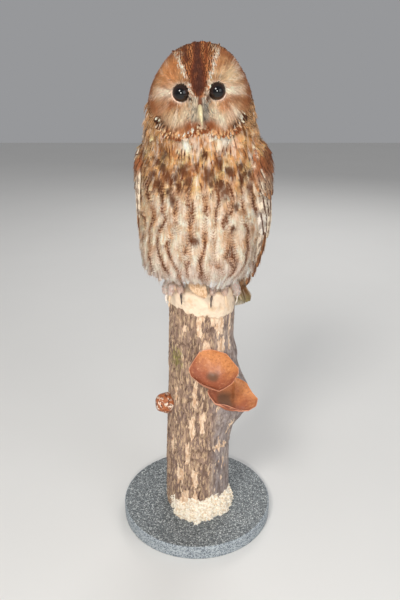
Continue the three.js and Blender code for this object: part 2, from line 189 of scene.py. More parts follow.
def wire(tree, made, inputs):
    """Sets a node's inputs, each of them a value or a field."""
    for key, value in inputs.items():
        if isinstance(value, Field):
            tree.links.new(value.socket, made.inputs[key])
        else:
            made.inputs[key].default_value = value


def node(tree, kind, inputs, **settings):
    made = tree.nodes.new("ShaderNode" + kind)
    for key, value in settings.items():
        setattr(made, key, value)
    wire(tree, made, inputs)
    return made


def object_place(tree):
    return Field(tree, node(tree, "TexCoord", {}).outputs["Object"])


def combined(x, z):
    return Field(x.tree, node(x.tree, "CombineXYZ", {"X": x, "Z": z}).outputs["Vector"])


def layered(color, *layers):
    """A colour with others laid over it in turn, each by its share."""
    for share, over in layers:
        color = share.mix(color, over)
    return color


class Look:
    """A material in the making."""

    def __init__(self, name):
        self.made = bpy.data.materials.new(name)
        self.made.use_nodes = True
        self.tree = self.made.node_tree
        self.shader = self.tree.nodes["Principled BSDF"]

    def read(self, name, output="Color"):
        return Field(self.tree, node(self.tree, "Attribute", {}, attribute_name=name).outputs[output])

    def done(self, color, height=None, bump=0.3, depth=0.5 * MM, **constants):
        """Links colour and bump into the shader, sets its constant sockets and gives the material."""
        wire(self.tree, self.shader, {"Base Color": color})
        if height is not None:
            made = node(self.tree, "Bump", {"Strength": bump, "Distance": depth, "Height": height})
            wire(self.tree, self.shader, {"Normal": Field(self.tree, made.outputs["Normal"])})
        wire(self.tree, self.shader, {key.replace("_", " "): value for key, value in constants.items()})
        return self.made


def node_group(build, inputs, outputs):
    """A group whose sockets are given as name to kind; build gives its outputs from its inputs."""
    tree = bpy.data.node_groups.new(build.__name__, "ShaderNodeTree")
    for direction, sockets in (("INPUT", inputs), ("OUTPUT", outputs)):
        for key, kind in sockets.items():
            tree.interface.new_socket(key, in_out=direction, socket_type="NodeSocket" + kind)
    given = tree.nodes.new("NodeGroupInput")
    results = build(tree, *(Field(tree, given.outputs[key]) for key in inputs))
    wire(tree, tree.nodes.new("NodeGroupOutput"), dict(zip(outputs, results)))
    return tree


def grouped(tree, group, inputs):
    """A group's outputs where it is used."""
    made = node(tree, "Group", inputs, node_tree=group)
    return [Field(tree, socket) for socket in made.outputs]


def feather_marks(tree, vane, tint, mark, style, spot):
    """Paints one feather from its vane map: a shaft streak, chevron bars, a pale spot on its outer
    web and the fine barbs. Style holds the streak's half width, the strength of the bars and how many
    there are. Spot is the spot's strength, which below nothing is that of pale edges instead."""
    u, v, _ = vane.split("XYZ")
    streak_half, bar_share, bar_count = style.split("Color")
    side = abs(u - 0.5) * 2.0
    wander = object_place(tree).noise(420.0, 2.0) - 0.5
    half = streak_half * v.ramp(0.1, 0.75, 0.55, 1.1)
    streak = (half - (side + wander * 0.35)).ramp(-0.12, 0.06)
    streak = streak * streak_half.maths("GREATER_THAN", 0.01)
    bars = (v * bar_count - side * 0.3 + wander * 0.6).sine().ramp(-0.15, 0.55) * bar_share
    barbs = (v * 38.0 + side * -9.0).sine()
    color = streak.maths("MAXIMUM", bars).mix(tint, mark)
    outer = u.ramp(0.5, 0.62) * v.ramp(0.5, 0.66) * v.ramp(0.97, 0.88)
    edged = (spot * -1.0).maths("MAXIMUM", 0.0)
    pale = outer * spot.maths("MAXIMUM", 0.0) + side.ramp(0.62, 0.86) * edged
    shade = barbs * 0.05 + 1.0 + wander * 0.5
    return pale.mix(color, (244, 226, 200)).vector("SCALE", {"Scale": shade}), barbs


def belly_streaks(tree, stray):
    """Masks of the belly's shaft streaks, of the fine cross bars and the warmer ground beside them, of
    the breast's dark blotches, and of the locks that the plumage hangs in, by place on the body. The
    locks' mask is used for painted highlights on the locks and painted shade between them.
    Stray moves a feather's own share of the pattern sideways, which frays the streaks' edges."""
    place = object_place(tree)
    x, y, z = place.split("XYZ")
    stray = stray - 0.5
    x = x - float(BODY_AXIS[0])
    y = y * -1.0 + float(BODY_AXIS[1])
    around = x.maths("ARCTAN2", y) - BODY_TURN
    front = abs(around).ramp(2.1, 1.7)
    sway = place.noise(16.0, 1.0) - 0.5
    fine = place.noise(330.0, 2.0) - 0.5
    column = around * STREAKS_PER_RADIAN + sway * 3.4 + stray * 0.3
    whole = column.maths("ROUND")
    off = abs(column - whole)
    wave = (z * 290.0 + off * -2.4 + fine * 1.6 + stray).sine()
    strength = combined(whole * 3.7, z * 42.0).noise(1.0, 1.0).ramp(0.36, 0.62)
    half = strength * 0.085 + fine * 0.2 + wave * 0.05
    region = z.ramp(0.520, 0.496) * z.ramp(0.372, 0.40, 0.35, 1.0) * front
    strong = region * strength.ramp(0.0, 0.5, 0.2, 1.0)
    streaks = (half - off).ramp(-0.09, 0.04) * strong
    halo = off.ramp(0.36, 0.08) * strong
    bars = wave.ramp(0.1, 0.85) * (off.ramp(0.5, 0.1) * z.ramp(0.505, 0.48)) * region
    bent = place.noise(110.0, 2.0, 0.5, output="Color").vector("SCALE", {"Scale": 12.0})
    flat = place.vector("MULTIPLY", {1: (1 / MM, 0, 0.68 / MM)}).vector("ADD", {1: bent})
    nearest = 9.0
    for across, up, size in BLOTCHES:
        gap = flat.vector("DISTANCE", {1: (across + 6.0, 6.0, up * 0.68 + 6.0)}, "Value")
        nearest = gap.maths("DIVIDE", float(size)).maths("MINIMUM", nearest)
    blotches = (nearest + stray * 0.4).ramp(1.25, 0.3) * front
    # a mask of the locks, used for painted highlights on them and painted shade between them
    locks = combined(around * 15.0, z * 34.0).noise(1.0, 2.0, 0.5, 1.2) + stray * 0.12
    return streaks, bars, halo, blotches, locks


MARKS = node_group(
    feather_marks, {"Vane": "Vector", "Tint": "Color", "Mark": "Color", "Style": "Color", "Spot": "Float"},
    {"Color": "Color", "Barbs": "Float"})
STREAKS = node_group(
    belly_streaks, {"Stray": "Float"},
    {key: "Float" for key in ("Streaks", "Bars", "Halo", "Blotches", "LockLightAndShade")})


def with_streaks(color, dark, stray=0.5):
    """A colour with painted highlights on the plumage's locks and painted shade between them, and with
    the belly's streaks and the breast's blotches over it.
    """
    streaks, bars, halo, blotches, locks = grouped(color.tree, STREAKS, {"Stray": stray})
    # painted shade between the locks here, and painted highlights on them in the first layer below
    color = locks.ramp(0.46, 0.32, 0, 0.6).mix(color, (206, 172, 142), "MULTIPLY")
    return layered(
        color, (locks.ramp(0.52, 0.66, 0, 0.5), (254, 241, 224)), (halo * 0.55, (196, 134, 86)),
        (bars * 0.6, (150, 92, 56)), (streaks * 0.95, dark), (blotches * 0.9, dark))


def feather_material(name, streaked=False):
    look = Look(name)
    vane = Field(look.tree, node(look.tree, "UVMap", {}, uv_map="vane").outputs["UV"])
    mark, stray = look.read("mark"), look.read("style", "Alpha")
    given = {"Vane": vane, "Tint": look.read("tint"), "Mark": mark, "Style": look.read("style")}
    if not streaked:
        given["Spot"] = stray
    color, barbs = grouped(look.tree, MARKS, given)
    if streaked:
        color = with_streaks(color, mark, stray)
    return look.done(color, barbs, bump=0.25, depth=0.15 * MM, Roughness=0.85, Specular_IOR_Level=0.25,
                     Subsurface_Weight=0.25, Subsurface_Scale=1.2 * MM, Subsurface_Radius=(1.0, 0.8, 0.65))


# ---- meshes from arrays -----------------------------------------------------------------------------
def make_piece(name, places, faces, look, attributes=None, maps=None):
    """An object from arrays of points and of triangles or quads. Attributes have one number or one
    row of four for each point, and maps one pair."""
    mesh = bpy.data.meshes.new(name)
    corners = faces.shape[1]
    places = places.reshape(-1, 3)
    mesh.vertices.add(len(places))
    mesh.vertices.foreach_set("co", np.asarray(places, np.float32).ravel())
    mesh.loops.add(faces.size)
    mesh.loops.foreach_set("vertex_index", faces.astype(np.int32).ravel())
    mesh.polygons.add(len(faces))
    mesh.polygons.foreach_set("loop_start", np.arange(0, faces.size, corners, dtype=np.int32))
    for key, pairs in (maps or {}).items():
        layer = mesh.uv_layers.new(name=key)
        layer.data.foreach_set("uv", pairs[faces.ravel()].astype(np.float32).ravel())
    for key, values in (attributes or {}).items():
        kind, field = ("FLOAT_COLOR", "color") if np.ndim(values) > 1 else ("FLOAT", "value")
        made = mesh.attributes.new(key, kind, "POINT")
        made.data.foreach_set(field, np.asarray(values, np.float32).ravel())
    mesh.update(calc_edges=True)
    mesh.materials.append(look)
    return placed(name, mesh)


def enter(piece, slot, *nodes):
    """Hangs a finished piece under the root body's empty and hides the CAD nodes that it replaces."""
    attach(piece, "root")
    if nodes:
        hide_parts(*nodes)


def smooth(piece):
    mesh = piece.data
    mesh.polygons.foreach_set("use_smooth", np.ones(len(mesh.polygons), bool))
    mesh.update()


def smooth_piece(name, places, faces, look, slot, *nodes, **attributes):
    """A piece without creases that takes the place of the given nodes."""
    piece = make_piece(name, places, faces, look, attributes)
    smooth(piece)
    enter(piece, slot, *nodes)


def evaluated_mesh(body):
    """A plain mesh of an object with its modifiers, which removes the object."""
    graph = bpy.context.evaluated_depsgraph_get()
    mesh = bpy.data.meshes.new_from_object(body.evaluated_get(graph))
    bpy.data.objects.remove(body)
    return mesh


def mesh_of(shape, name):
    mesh = bpy.data.meshes.new(name)
    shape.to_mesh(mesh)
    shape.free()
    return mesh


def grid_faces(rows, columns, closed=False):
    """Quads of a grid of points kept row by row; closed joins the last column to the first."""
    r, c = np.meshgrid(np.arange(rows - 1), np.arange(columns if closed else columns - 1), indexing="ij")
    after = (c + 1) % columns
    quads = [r * columns + c, r * columns + after, (r + 1) * columns + after, (r + 1) * columns + c]
    return np.stack(quads, -1).reshape(-1, 4)


def circle(count):
    """So many turns in radians, evenly round."""
    return np.arange(count) * math.tau / count


def smoothstep(x, low, high):
    t = np.clip((np.asarray(x, float) - low) / (high - low), 0, 1)
    return t * t * (3 - 2 * t)


def hump(x, middle_at, half, power=2):
    """1 at the middle and falling off smoothly to both sides."""
    return np.exp(-(((x - middle_at) / half) ** power))


def unit(vectors):
    return vectors / (np.linalg.norm(vectors, axis=-1, keepdims=True) + 1e-12)


def blend(a, b, share):
    return a + (b - a) * np.asarray(share)[..., None]


def wave_noise(points, scale, seed, octaves=3):
    """Smooth noise of about -1 to 1 from turned sines, for arrays of points in metres."""
    turn = np.random.default_rng(seed)
    total = np.zeros(points.shape[:-1])
    weight = 1.0
    for _ in range(octaves):
        for _ in range(5):
            way = unit(turn.normal(size=3))
            total += weight * np.sin(points @ way * math.tau / scale + turn.uniform(0, math.tau)) / 2.2
        scale *= 0.47
        weight *= 0.55
    return total / 1.6


def lattice_noise(points, scale, seed):
    """Smooth random noise of 0 to 1 for arrays of points; scale may differ by axis."""
    table = np.random.default_rng(seed).random(8192)
    p = points / np.asarray(scale) + 100.0
    cell = np.floor(p).astype(np.int64)
    f = p - cell
    f = f * f * (3 - 2 * f)
    total = np.zeros(points.shape[:-1])
    for corner in np.ndindex(2, 2, 2):
        key = sum((cell[..., k] + corner[k]) * step for k, step in enumerate((73, 1931, 5237)))
        x, y, z = (f[..., k] if corner[k] else 1 - f[..., k] for k in range(3))
        total += table[key % 8192] * x * y * z
    return total


# ---- smooth shells over the bird's solids -----------------------------------------------------------
def merged(names, clip_below=None):
    """The named solids' triangles as one bmesh with shared points."""
    shape = bmesh.new()
    for name in names:
        shape.from_mesh(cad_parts[name].data)
    bmesh.ops.remove_doubles(shape, verts=shape.verts, dist=1e-6)
    if clip_below is not None:
        for point in shape.verts:
            point.co.z = max(point.co.z, clip_below)
    shape.normal_update()
    return shape


def solid_tree(*names):
    shape = merged(names)
    tree = BVHTree.FromBMesh(shape)
    shape.free()
    return tree


def numbers(items, field, count, kind):
    """Rows of count numbers read from a mesh's elements."""
    flat = np.zeros(len(items) * count, kind)
    items.foreach_get(field, flat)
    return flat.reshape(-1, count)


class Shell:
    """A smoothed closed surface, with a search tree, round ready-made meshes and groups of solids,
    each group with the height below which it is cut flat, or None."""

    def __init__(self, groups, voxel, rounds, swell=0.5 * MM, extra=()):
        whole = bmesh.new()
        added = []
        for places, faces in extra:
            added.append(bpy.data.meshes.new("extra"))
            added[-1].from_pydata(places.tolist(), [], faces.tolist())
        for names, clip in groups:
            shape = merged(names, clip)
            for point in shape.verts:
                point.co += point.normal * swell
            added.append(mesh_of(shape, "solids"))
        for mesh in added:
            whole.from_mesh(mesh)
            bpy.data.meshes.remove(mesh)
        rough = mesh_of(whole, "shell")
        body = placed("shell", rough)
        remesh = body.modifiers.new("remesh", "REMESH")
        remesh.mode = "VOXEL"
        remesh.voxel_size = voxel
        body.modifiers.new("smooth", "SMOOTH").iterations = rounds
        done = evaluated_mesh(body)
        self.points = numbers(done.vertices, "co", 3, np.float32).astype(float)
        done.calc_loop_triangles()
        self.faces = numbers(done.loop_triangles, "vertices", 3, np.int32)
        self.quads = numbers(done.polygons, "vertices", 4, np.int32)
        bpy.data.meshes.remove(rough)
        bpy.data.meshes.remove(done)
        a, b, c = (self.points[self.faces[:, k]] for k in range(3))
        cross = np.cross(b - a, c - a)
        self.areas = np.linalg.norm(cross, axis=1) / 2
        normals = np.zeros_like(self.points)
        for k in range(3):
            np.add.at(normals, self.faces[:, k], cross)
        self.normals = unit(normals)
        self.tree = BVHTree.FromPolygons(self.points.tolist(), self.faces.tolist())

    def nearest(self, points):
        """The nearest places on the shell and its smooth normals there."""
        hits = [self.tree.find_nearest(p) for p in points.tolist()]
        at = np.array([hit[0] for hit in hits])
        index = np.array([hit[2] for hit in hits])
        return at, unit(self.normals[self.faces[index]].mean(axis=1))

    def scattered(self, spacing, keep, tries):
        """Points at random on the shell and its normals there. None is closer to an earlier one than
        spacing gives for it."""
        which = rng.choice(len(self.faces), tries, p=self.areas / self.areas.sum())
        a, b = rng.random(tries), rng.random(tries)
        over = a + b > 1
        a[over], b[over] = 1 - a[over], 1 - b[over]
        corners = self.points[self.faces[which]]
        at = corners[:, 0] + a[:, None] * (corners[:, 1] - corners[:, 0])
        at += b[:, None] * (corners[:, 2] - corners[:, 0])
        normal = unit(self.normals[self.faces[which]].mean(axis=1))
        wanted = keep(at)
        at, normal = at[wanted], normal[wanted]
        gap = spacing(at)
        keys = np.floor(at / gap.max()).astype(int).tolist()
        taken = {}
        chosen = []
        steps = list(np.ndindex(3, 3, 3))
        for i, (place, near, key) in enumerate(zip(at.tolist(), (gap**2).tolist(), keys)):
            x, y, z = place
            cells = ((key[0] + s[0] - 1, key[1] + s[1] - 1, key[2] + s[2] - 1) for s in steps)
            crowd = (other for cell in cells for other in taken.get(cell, ()))
            if not any((x - p) ** 2 + (y - q) ** 2 + (z - r) ** 2 < near for p, q, r in crowd):
                taken.setdefault(tuple(key), []).append(place)
                chosen.append(i)
        return at[chosen], normal[chosen]


# ---- feather shapes ---------------------------------------------------------------------------------
class Shape:
    """A feather in its own measures: s runs from root (0) to tip (1), w from edge to edge (-1 to 1)
    and h is height as a share of the width. The same s and w are its vane map."""

    def __init__(self):
        self.rows = []
        self.tris = []

    def point(self, s, w, h=0.0):
        self.rows.append((s, w, h))
        return len(self.rows) - 1

    def vane(self, rows, columns, outline, end=1.0, camber=0.12):
        first = len(self.rows)
        for i in range(rows):
            s = end * i / (rows - 1)
            for j in range(columns):
                w = -1 + 2 * j / (columns - 1)
                self.point(s, w * outline(s), -camber * w * w)
        for a, b, c, d in (grid_faces(rows, columns) + first).tolist():
            self.tris += [(a, b, c), (a, c, d)]

    def barb(self, s0, w0, s1, w1, thick, lift=0.0, aspect=0.4):
        """A thin blade from (s0, w0) to (s1, w1), widest at its root and pointed."""
        ds, dw = (s1 - s0), (w1 - w0) * aspect
        long = math.hypot(ds, dw) + 1e-9
        ps, pw = -dw / long * thick * aspect, ds / long * thick
        bend = 0.12 * (w1 - w0)
        sm, wm = s0 * 0.45 + s1 * 0.55, w0 * 0.45 + w1 * 0.55 + bend
        a = self.point(s0 - ps, w0 - pw, 0.0)
        b = self.point(s0 + ps, w0 + pw, 0.0)
        c = self.point(sm - ps * 0.8, wm - pw * 0.8, lift * 0.5)
        d = self.point(sm + ps * 0.8, wm + pw * 0.8, lift * 0.5)
        e = self.point(s1, w1, lift)
        self.tris += [(a, c, b), (b, c, d), (c, e, d)]

    def done(self):
        self.local = np.array(self.rows)
        self.tris = np.array(self.tris)
        return self


def round_tip(s):
    """Half width along a body feather: narrow at the root, widest past the middle, round tip."""
    root = 0.22 + 0.78 * math.sin(min(s / 0.62, 1) * math.pi / 2)
    return root * math.sqrt(max(1 - (max(s - 0.6, 0) / 0.42) ** 2.4, 0.0))


def soft_feather(barbs, core=(5, 4), loose=1.0, aspect=0.4):
    """A body feather: a closed vane under many loose barbs that fray its edge."""
    shape = Shape()
    shape.vane(*core, lambda s: 0.8 * round_tip(s * 0.95), 0.84)
    for k in range(barbs):
        t = -1 + 2 * (k + 0.5) / barbs
        root = 0.66 - 0.5 * abs(t) ** 0.8 + rng.uniform(-0.1, 0.08)
        reach = 1.02 - 0.36 * abs(t) ** 1.8 + rng.uniform(-0.12, 0.12) * loose
        out = t * (0.98 + rng.uniform(-0.15, 0.2) * loose) + rng.uniform(-0.06, 0.06) * loose
        shape.barb(root, t * 0.5, max(reach, root + 0.2), out, 0.6 / barbs + 0.015,
                   rng.uniform(-0.02, 0.05) * loose, aspect)
    return shape.done()


def down_tuft(spread=1.0, blades=7):
    """A tuft of hair-like barbs from one root."""
    shape = Shape()
    for k in range(blades):
        t = -1 + 2 * (k + 0.5) / blades
        reach = 1.0 - 0.3 * abs(t) + rng.uniform(-0.15, 0.12)
        shape.barb(rng.uniform(0, 0.12), t * 0.25, reach, t * spread + rng.uniform(-0.2, 0.2),
                   0.75 / blades + 0.05, rng.uniform(-0.05, 0.2), 0.4)
    return shape.done()


def firm_feather(rows, columns, point_s, fray):
    """A wing or tail feather: a stiff vane with parallel edges, a raised shaft and a round tip."""
    def outline(s):
        base = 0.35 + 0.65 * min(s / 0.25, 1)
        return base * math.sqrt(max(1 - (max(s - point_s, 0) / (1.005 - point_s)) ** 2.2, 0.0))

    shape = Shape()
    shape.vane(rows, columns, outline, camber=0.1)
    for s0, s1 in ((0.0, 0.5), (0.5, 0.97)):
        wide0, wide1 = 0.05 * (1 - s0) + 0.012, 0.05 * (1 - s1) + 0.012
        a, b = shape.point(s0, -wide0), shape.point(s0, wide0)
        c, d = shape.point(s1, -wide1), shape.point(s1, wide1)
        e, f = shape.point(s0, 0, 0.06), shape.point(s1, 0, 0.04)
        shape.tris += [(a, c, f), (a, f, e), (e, f, d), (e, d, b)]
    for _ in range(fray):
        s = rng.uniform(0.45, 1.0)
        edge = outline(min(s, 0.97))
        side = rng.choice([-1, 1])
        shape.barb(s - 0.07, side * edge * 0.8, s + 0.03, side * (edge + 0.1), 0.05, 0.0, 0.15)
    return shape.done()


# ---- laying feathers --------------------------------------------------------------------------------
def unwrapped(points):
    """Places on an unwrap of the bird: round the body's axis, and down it from the crown."""
    x, y = points[:, 0] - BODY_AXIS[0], points[:, 1] - BODY_AXIS[1]
    around = np.arctan2(x, -y) / math.tau + 0.5
    dome = 0.6
    over = np.clip(points[:, 2] - dome, 0, None)
    bow = np.arctan2(over, np.hypot(x, y) + 1e-6) * 0.05
    down = np.where(points[:, 2] > dome, bow + dome, points[:, 2])
    return np.stack([around, (down - 0.28) / 0.42], 1)


class Coat:
    """Collects feathers and makes them one mesh."""

    def __init__(self, name, look):
        self.name = name
        self.look = look
        self.places, self.faces, self.vanes, self.roots = [], [], [], []
        self.colors = {"tint": [], "mark": [], "style": []}
        self.count = 0

    def add(self, places, shape, roots, paint):
        """places is (feathers, points of the shape, 3); the colours have one row a point."""
        feathers, size = places.shape[:2]
        self.places.append(places.reshape(-1, 3))
        start = self.count + size * np.arange(feathers)[:, None, None]
        self.faces.append((shape.tris[None] + start).reshape(-1, 3))
        vane = np.stack([(shape.local[:, 1] + 1) / 2, shape.local[:, 0]], 1).clip(0.01, 0.99)
        self.vanes.append(np.tile(vane, (feathers, 1)))
        self.roots.append(np.repeat(roots, size, axis=0))
        for rows, part in zip(self.colors.values(), paint):
            rows.append(np.concatenate([part, np.zeros((len(part), 4 - part.shape[1]))], 1))
        self.count += feathers * size

    def strewn(self, shapes, line, normals, width, rise, colors, draws, ease=1.0, tube=1 / 15):
        """Bends feathers along their centre lines, which with their normals are (feathers, steps + 1,
        3). rise gives root and tip heights over the line, eased by a power, and tube is twice the radius
        in metres that a feather curls to across. colors is a map, or rows of colours one a feather, and
        draws holds each feather's shape and luck."""
        steps = line.shape[1] - 1
        pick, luck = draws
        for number, shape in enumerate(shapes):
            mine = pick == number
            if not mine.any():
                continue
            c, n = line[mine], normals[mine]
            s, w, h = shape.local.T
            cell = np.clip((s * steps).astype(int), 0, steps - 1)
            part = s * steps - cell
            run = c[:, cell + 1] - c[:, cell]
            along = c[:, cell] + run * part[None, :, None]
            up = unit(n[:, cell] + (n[:, cell + 1] - n[:, cell]) * part.clip(0, 1)[None, :, None])
            across = unit(np.cross(up, run))
            half = width[mine][:, None] / 2
            eased = s if ease == 1 else s.clip(0, 1.1) ** ease
            high = rise[0][mine][:, None] + (rise[1] - rise[0])[mine][:, None] * eased[None]
            high = high + h[None] * half * 2 - (w[None] * half) ** 2 / tube
            places = along + across * (w[None] * half)[..., None] + up * high[..., None]
            if callable(colors):
                paint = colors(places.reshape(-1, 3), np.repeat(luck[mine], len(s)))
            else:
                paint = [np.repeat(rows[mine], len(s), axis=0) for rows in colors]
            self.add(places, shape, c[:, 0], paint)

    def dress(self, shapes, line, normals, width, rise, colors):
        """Puts feathers along given centre lines."""
        pick = rng.integers(0, len(shapes), len(line))
        luck = rng.random(len(line))
        self.strewn(shapes, line, normals, width, rise, colors, (pick, luck))

    def lay(self, shell, shapes, roots, ways, sizes, rise, colors):
        """Lays feathers from their roots along a shell, sizes being (length, width) and rise the
        (depth of the root, height of the tip)."""
        steps = 4
        at, normal = shell.nearest(roots)
        way = unit(ways - normal * (ways * normal).sum(1, keepdims=True))
        line, normals = [at], [normal]
        for _ in range(steps):
            at, normal = shell.nearest(at + way * (sizes[0] / steps)[:, None])
            way = unit(way - normal * (way * normal).sum(1, keepdims=True))
            line.append(at)
            normals.append(normal)
        luck = rng.random(len(roots))
        pick = rng.integers(0, len(shapes), len(roots))
        self.strewn(shapes, np.stack(line, 1), np.stack(normals, 1), sizes[1], (-rise[0], rise[1]), colors,
                    (pick, luck), ease=0.8, tube=0.12)

    def piece(self, *nodes):
        vanes = np.concatenate(self.vanes)
        flat = unwrapped(np.concatenate(self.roots))
        low, high = flat.min(0), flat.max(0)
        flat = 0.006 + (flat - low) / (high - low + 1e-9) * 0.988
        attributes = {key: np.concatenate(rows) for key, rows in self.colors.items()}
        maps = {"vane": vanes, "OFBake": flat + (vanes - 0.5) * 0.003}
        made = make_piece(self.name, np.concatenate(self.places), np.concatenate(self.faces), self.look,
                          attributes, maps)
        enter(made, "plumage", *nodes)


# ---- the plumage map: what colour the bird is at each place -----------------------------------------
CHOCOLATE, UMBER, RUFOUS = (72, 36, 20), (100, 56, 30), (168, 92, 44)
AMBER, BUFF, CREAM = (206, 138, 74), (222, 176, 124), (240, 216, 182)
DISC = (  # a facial disc's outline round its eye: degrees from straight outwards, and its reach
    (-180, 20), (-150, 26), (-118, 36.5), (-100, 37.5), (-90, 39), (-66, 41.5), (-54, 38.5), (-42, 35),
    (-20, 35), (0, 36.5), (15, 35), (37, 35), (61, 39), (80, 41), (100, 34), (130, 24), (180, 20))


def painted(points, ground, *layers):
    """A row of colour for each point: the ground, and others laid over it in turn by their shares."""
    tint = np.tile(srgb(*ground), (len(points), 1)) if isinstance(ground, tuple) else ground
    for color, share in layers:
        over = srgb(*color) if isinstance(color, tuple) else color
        tint = blend(tint, over, np.clip(share, 0, 1))
    return tint


def styled(points, *parts):
    """Rows of a feather's style: its streak's half width, its bars' strength and number, its spot."""
    return np.stack([part + np.zeros(len(points)) for part in parts], 1)


def table_at(table, where, column=1):
    """A table's column read between its rows, the first column saying where they stand."""
    known = np.array(table, float)
    return np.interp(where, known[:, 0], known[:, column])


def spun(x, z, turn):
    """Places across and up, turned about the view from the front."""
    c, s = math.cos(turn), math.sin(turn)
    return x * c - z * s, x * s + z * c


def face_place(points):
    """Millimetres across and up from the middle between the eyes, with the face's roll undone."""
    x, z = (points[:, 0] - FACE_MIDDLE[0]) / MM, (points[:, 2] - FACE_MIDDLE[2]) / MM
    return spun(x, z, -FACE_ROLL)


def disc_edge(turn):
    """The reach of the disc's rim in millimetres, in a way given in radians."""
    return table_at(DISC, np.degrees(turn))


def disc_reach(points):
    """How far out on its facial disc a point is: 0 at the eye, 1 at the rim."""
    x, z = face_place(points)
    dx = np.abs(x) - EYE_OUT
    return np.hypot(dx, z) / disc_edge(np.arctan2(z, dx))


def band_middle(z):
    """How far from the middle the pale band beside the dark wedge of the brow runs."""
    return 9.0 + 0.36 * np.clip(z, -4, 60)


def head_colors(points, luck):
    """Rufous and buff, with a dark wedge up the brow and over the crown a stripe on each side of it."""
    x, z = face_place(points)
    y = points[:, 1] / MM
    side = np.abs(x)
    grain = wave_noise(points, 9 * MM, 3)
    fine = (luck * 7.3) % 1
    back = smoothstep(y, -12, 20)
    low = 1 - smoothstep(z, -34, -2)
    wide = 1.0 + 7.6 * smoothstep(z, -6, 6) - 4.0 * smoothstep(z, 20, 38) + 0.9 * grain
    wedge = (1 - smoothstep(side, wide - 1.2, wide + 1.4)) * smoothstep(z, -9, -4)
    beside = np.where(x < 0, 12.4, 9.4) + 0.06 * (z - 30) + grain
    stripe = hump(side, beside, np.where(x < 0, 3.3, 2.2), 4) * smoothstep(z, 25, 33)
    dark = np.clip(wedge + stripe * 0.9, 0, 1) * (1 - 0.35 * back)
    between = (1 - dark) * (1 - smoothstep(side, 12, 17)) * (1 - back) * smoothstep(z, -4, 4)
    warm_tone_and_painted_light = painted(points, (206, 124, 70), ((226, 156, 104), fine))
    deep = painted(points, (142, 70, 38),
                   ((84, 47, 38), hump(side, 0, 0.8 * wide, 4) + 0.8 * stripe * (x < 0)),
                   ((138, 74, 44), 1.8 * (fine - 0.6)))
    band = hump(side, band_middle(z) + 1.6 * grain, 3.4, 4) * (1 - smoothstep(y, -24, -6))
    band = band * smoothstep(z, -6, 0) * (1 - dark)
    broken = smoothstep(fine + 0.7 * wave_noise(points, 5 * MM, 9), 0.1, 0.4)
    tint = painted(points, RUFOUS, (AMBER, 0.45 + 0.6 * grain),
                   (CREAM, 0.55 * (fine < 0.25 + 0.2 * back) * smoothstep(side, 9, 16)),
                   (BUFF, 0.7 * low), (warm_tone_and_painted_light, 0.75 * between), (deep, 0.97 * dark),
                   ((252, 238, 216), 0.98 * band * broken))
    streak = (0.26 + 0.12 * back - 0.14 * low) * (1 - 0.8 * band) * (1 - 0.6 * dark)
    bars = (0.25 + 0.25 * back) * (1 - band)
    return tint, painted(points, CHOCOLATE), styled(points, streak, bars, 2.0)


def disc_colors(points, luck):
    """The facial discs, whose two halves differ a little."""
    x, z = face_place(points)
    reach = disc_reach(points)
    dx = np.abs(x) - EYE_OUT
    turn = np.arctan2(z, dx)
    degrees = np.degrees(turn)
    rays = np.stack([turn * 26 * MM, reach * 5 * MM, 3 * np.sign(x) * MM], 1)
    rays = wave_noise(rays, 6 * MM, 6)
    left = smoothstep(x, -5, 5)  # the half of the face on the bird's left
    right = 1 - left

    def patch(px, pz, wx, wz):
        return hump(dx, px, wx) * hump(z, pz, wz)

    glow = (patch(14, 18, 12, 13) + patch(4, 30, 10, 7)) * right
    pale_share = smoothstep(rays + 0.7 * (luck - 0.5), 0.15, 0.9) * (1 - 0.85 * np.clip(glow, 0, 1))
    pale_share = pale_share * (1 - 0.8 * right * smoothstep(-z, 5, 15) * smoothstep(dx, 6, 14))
    dark_share = smoothstep(-rays + 0.9 * (luck - 0.5), 0.2, 1.0) * smoothstep(reach, 0.3, 0.5)
    low_side = smoothstep(degrees, -84, -72) * smoothstep(-degrees, 38, 46)
    tint = painted(
        points, (184, 126, 78),
        ((216, 174, 128), 0.5 + 0.6 * wave_noise(points, 8 * MM, 5)),
        ((202, 134, 82), 0.9 * glow),
        ((200, 128, 74), 0.8 * patch(5, 27, 8, 7) * left),
        ((244, 220, 194), 1.1 * patch(18, 0, 11, 6.5)),
        ((232, 202, 160), 1.0 * patch(13, 17, 10, 9) * left),
        ((240, 216, 182), patch(5, -31, 12, 8) + patch(-5, -22, 6, 9)),
        ((228, 196, 168), 0.8 * patch(16, -24, 8, 10) * left),
        ((160, 98, 64), patch(11, -11, 8.0, 4.5) * (1 - 0.25 * left)),
        ((176, 116, 76), 0.85 * patch(24, -14, 8, 7) * right + 0.5 * patch(24, -8, 7, 6) * left),
        ((232, 202, 164), 0.9 * patch(17, -27, 8, 6) * right),
        ((214, 146, 100), 0.7 * patch(7, -17, 6, 4) * left),
        ((156, 84, 42), 1.35 * patch(-11, -35.5, 10, 7.5) * smoothstep(np.abs(x), 1, 5)),
        ((186, 116, 66), 0.9 * patch(6, -40, 24, 5.5)),
        ((116, 80, 54), 0.7 * patch(4, 15, 4, 2.2) * left + 0.6 * patch(-2, 13, 5, 2.2) * right),
        ((240, 208, 184), 0.7 * (1 - smoothstep(np.hypot(dx, z), 10.0, 12.5))),
        ((52, 42, 38), 1.1 * patch(-9.5, -6.5, 3.0, 4.5)),
        ((166, 98, 58), 0.9 * smoothstep(reach, 0.8, 1.0) * smoothstep(z, -34, -10)),
        ((58, 34, 26), 0.95 * low_side * smoothstep(reach, 0.88, 0.95) * (luck < 0.55)),
        ((250, 232, 208), 0.5 * pale_share),
        ((140, 80, 46), 0.5 * dark_share))
    return tint, painted(points, tint, (UMBER, np.full(len(x), 0.7))), styled(points, 0.0, 0.15, 1.7)


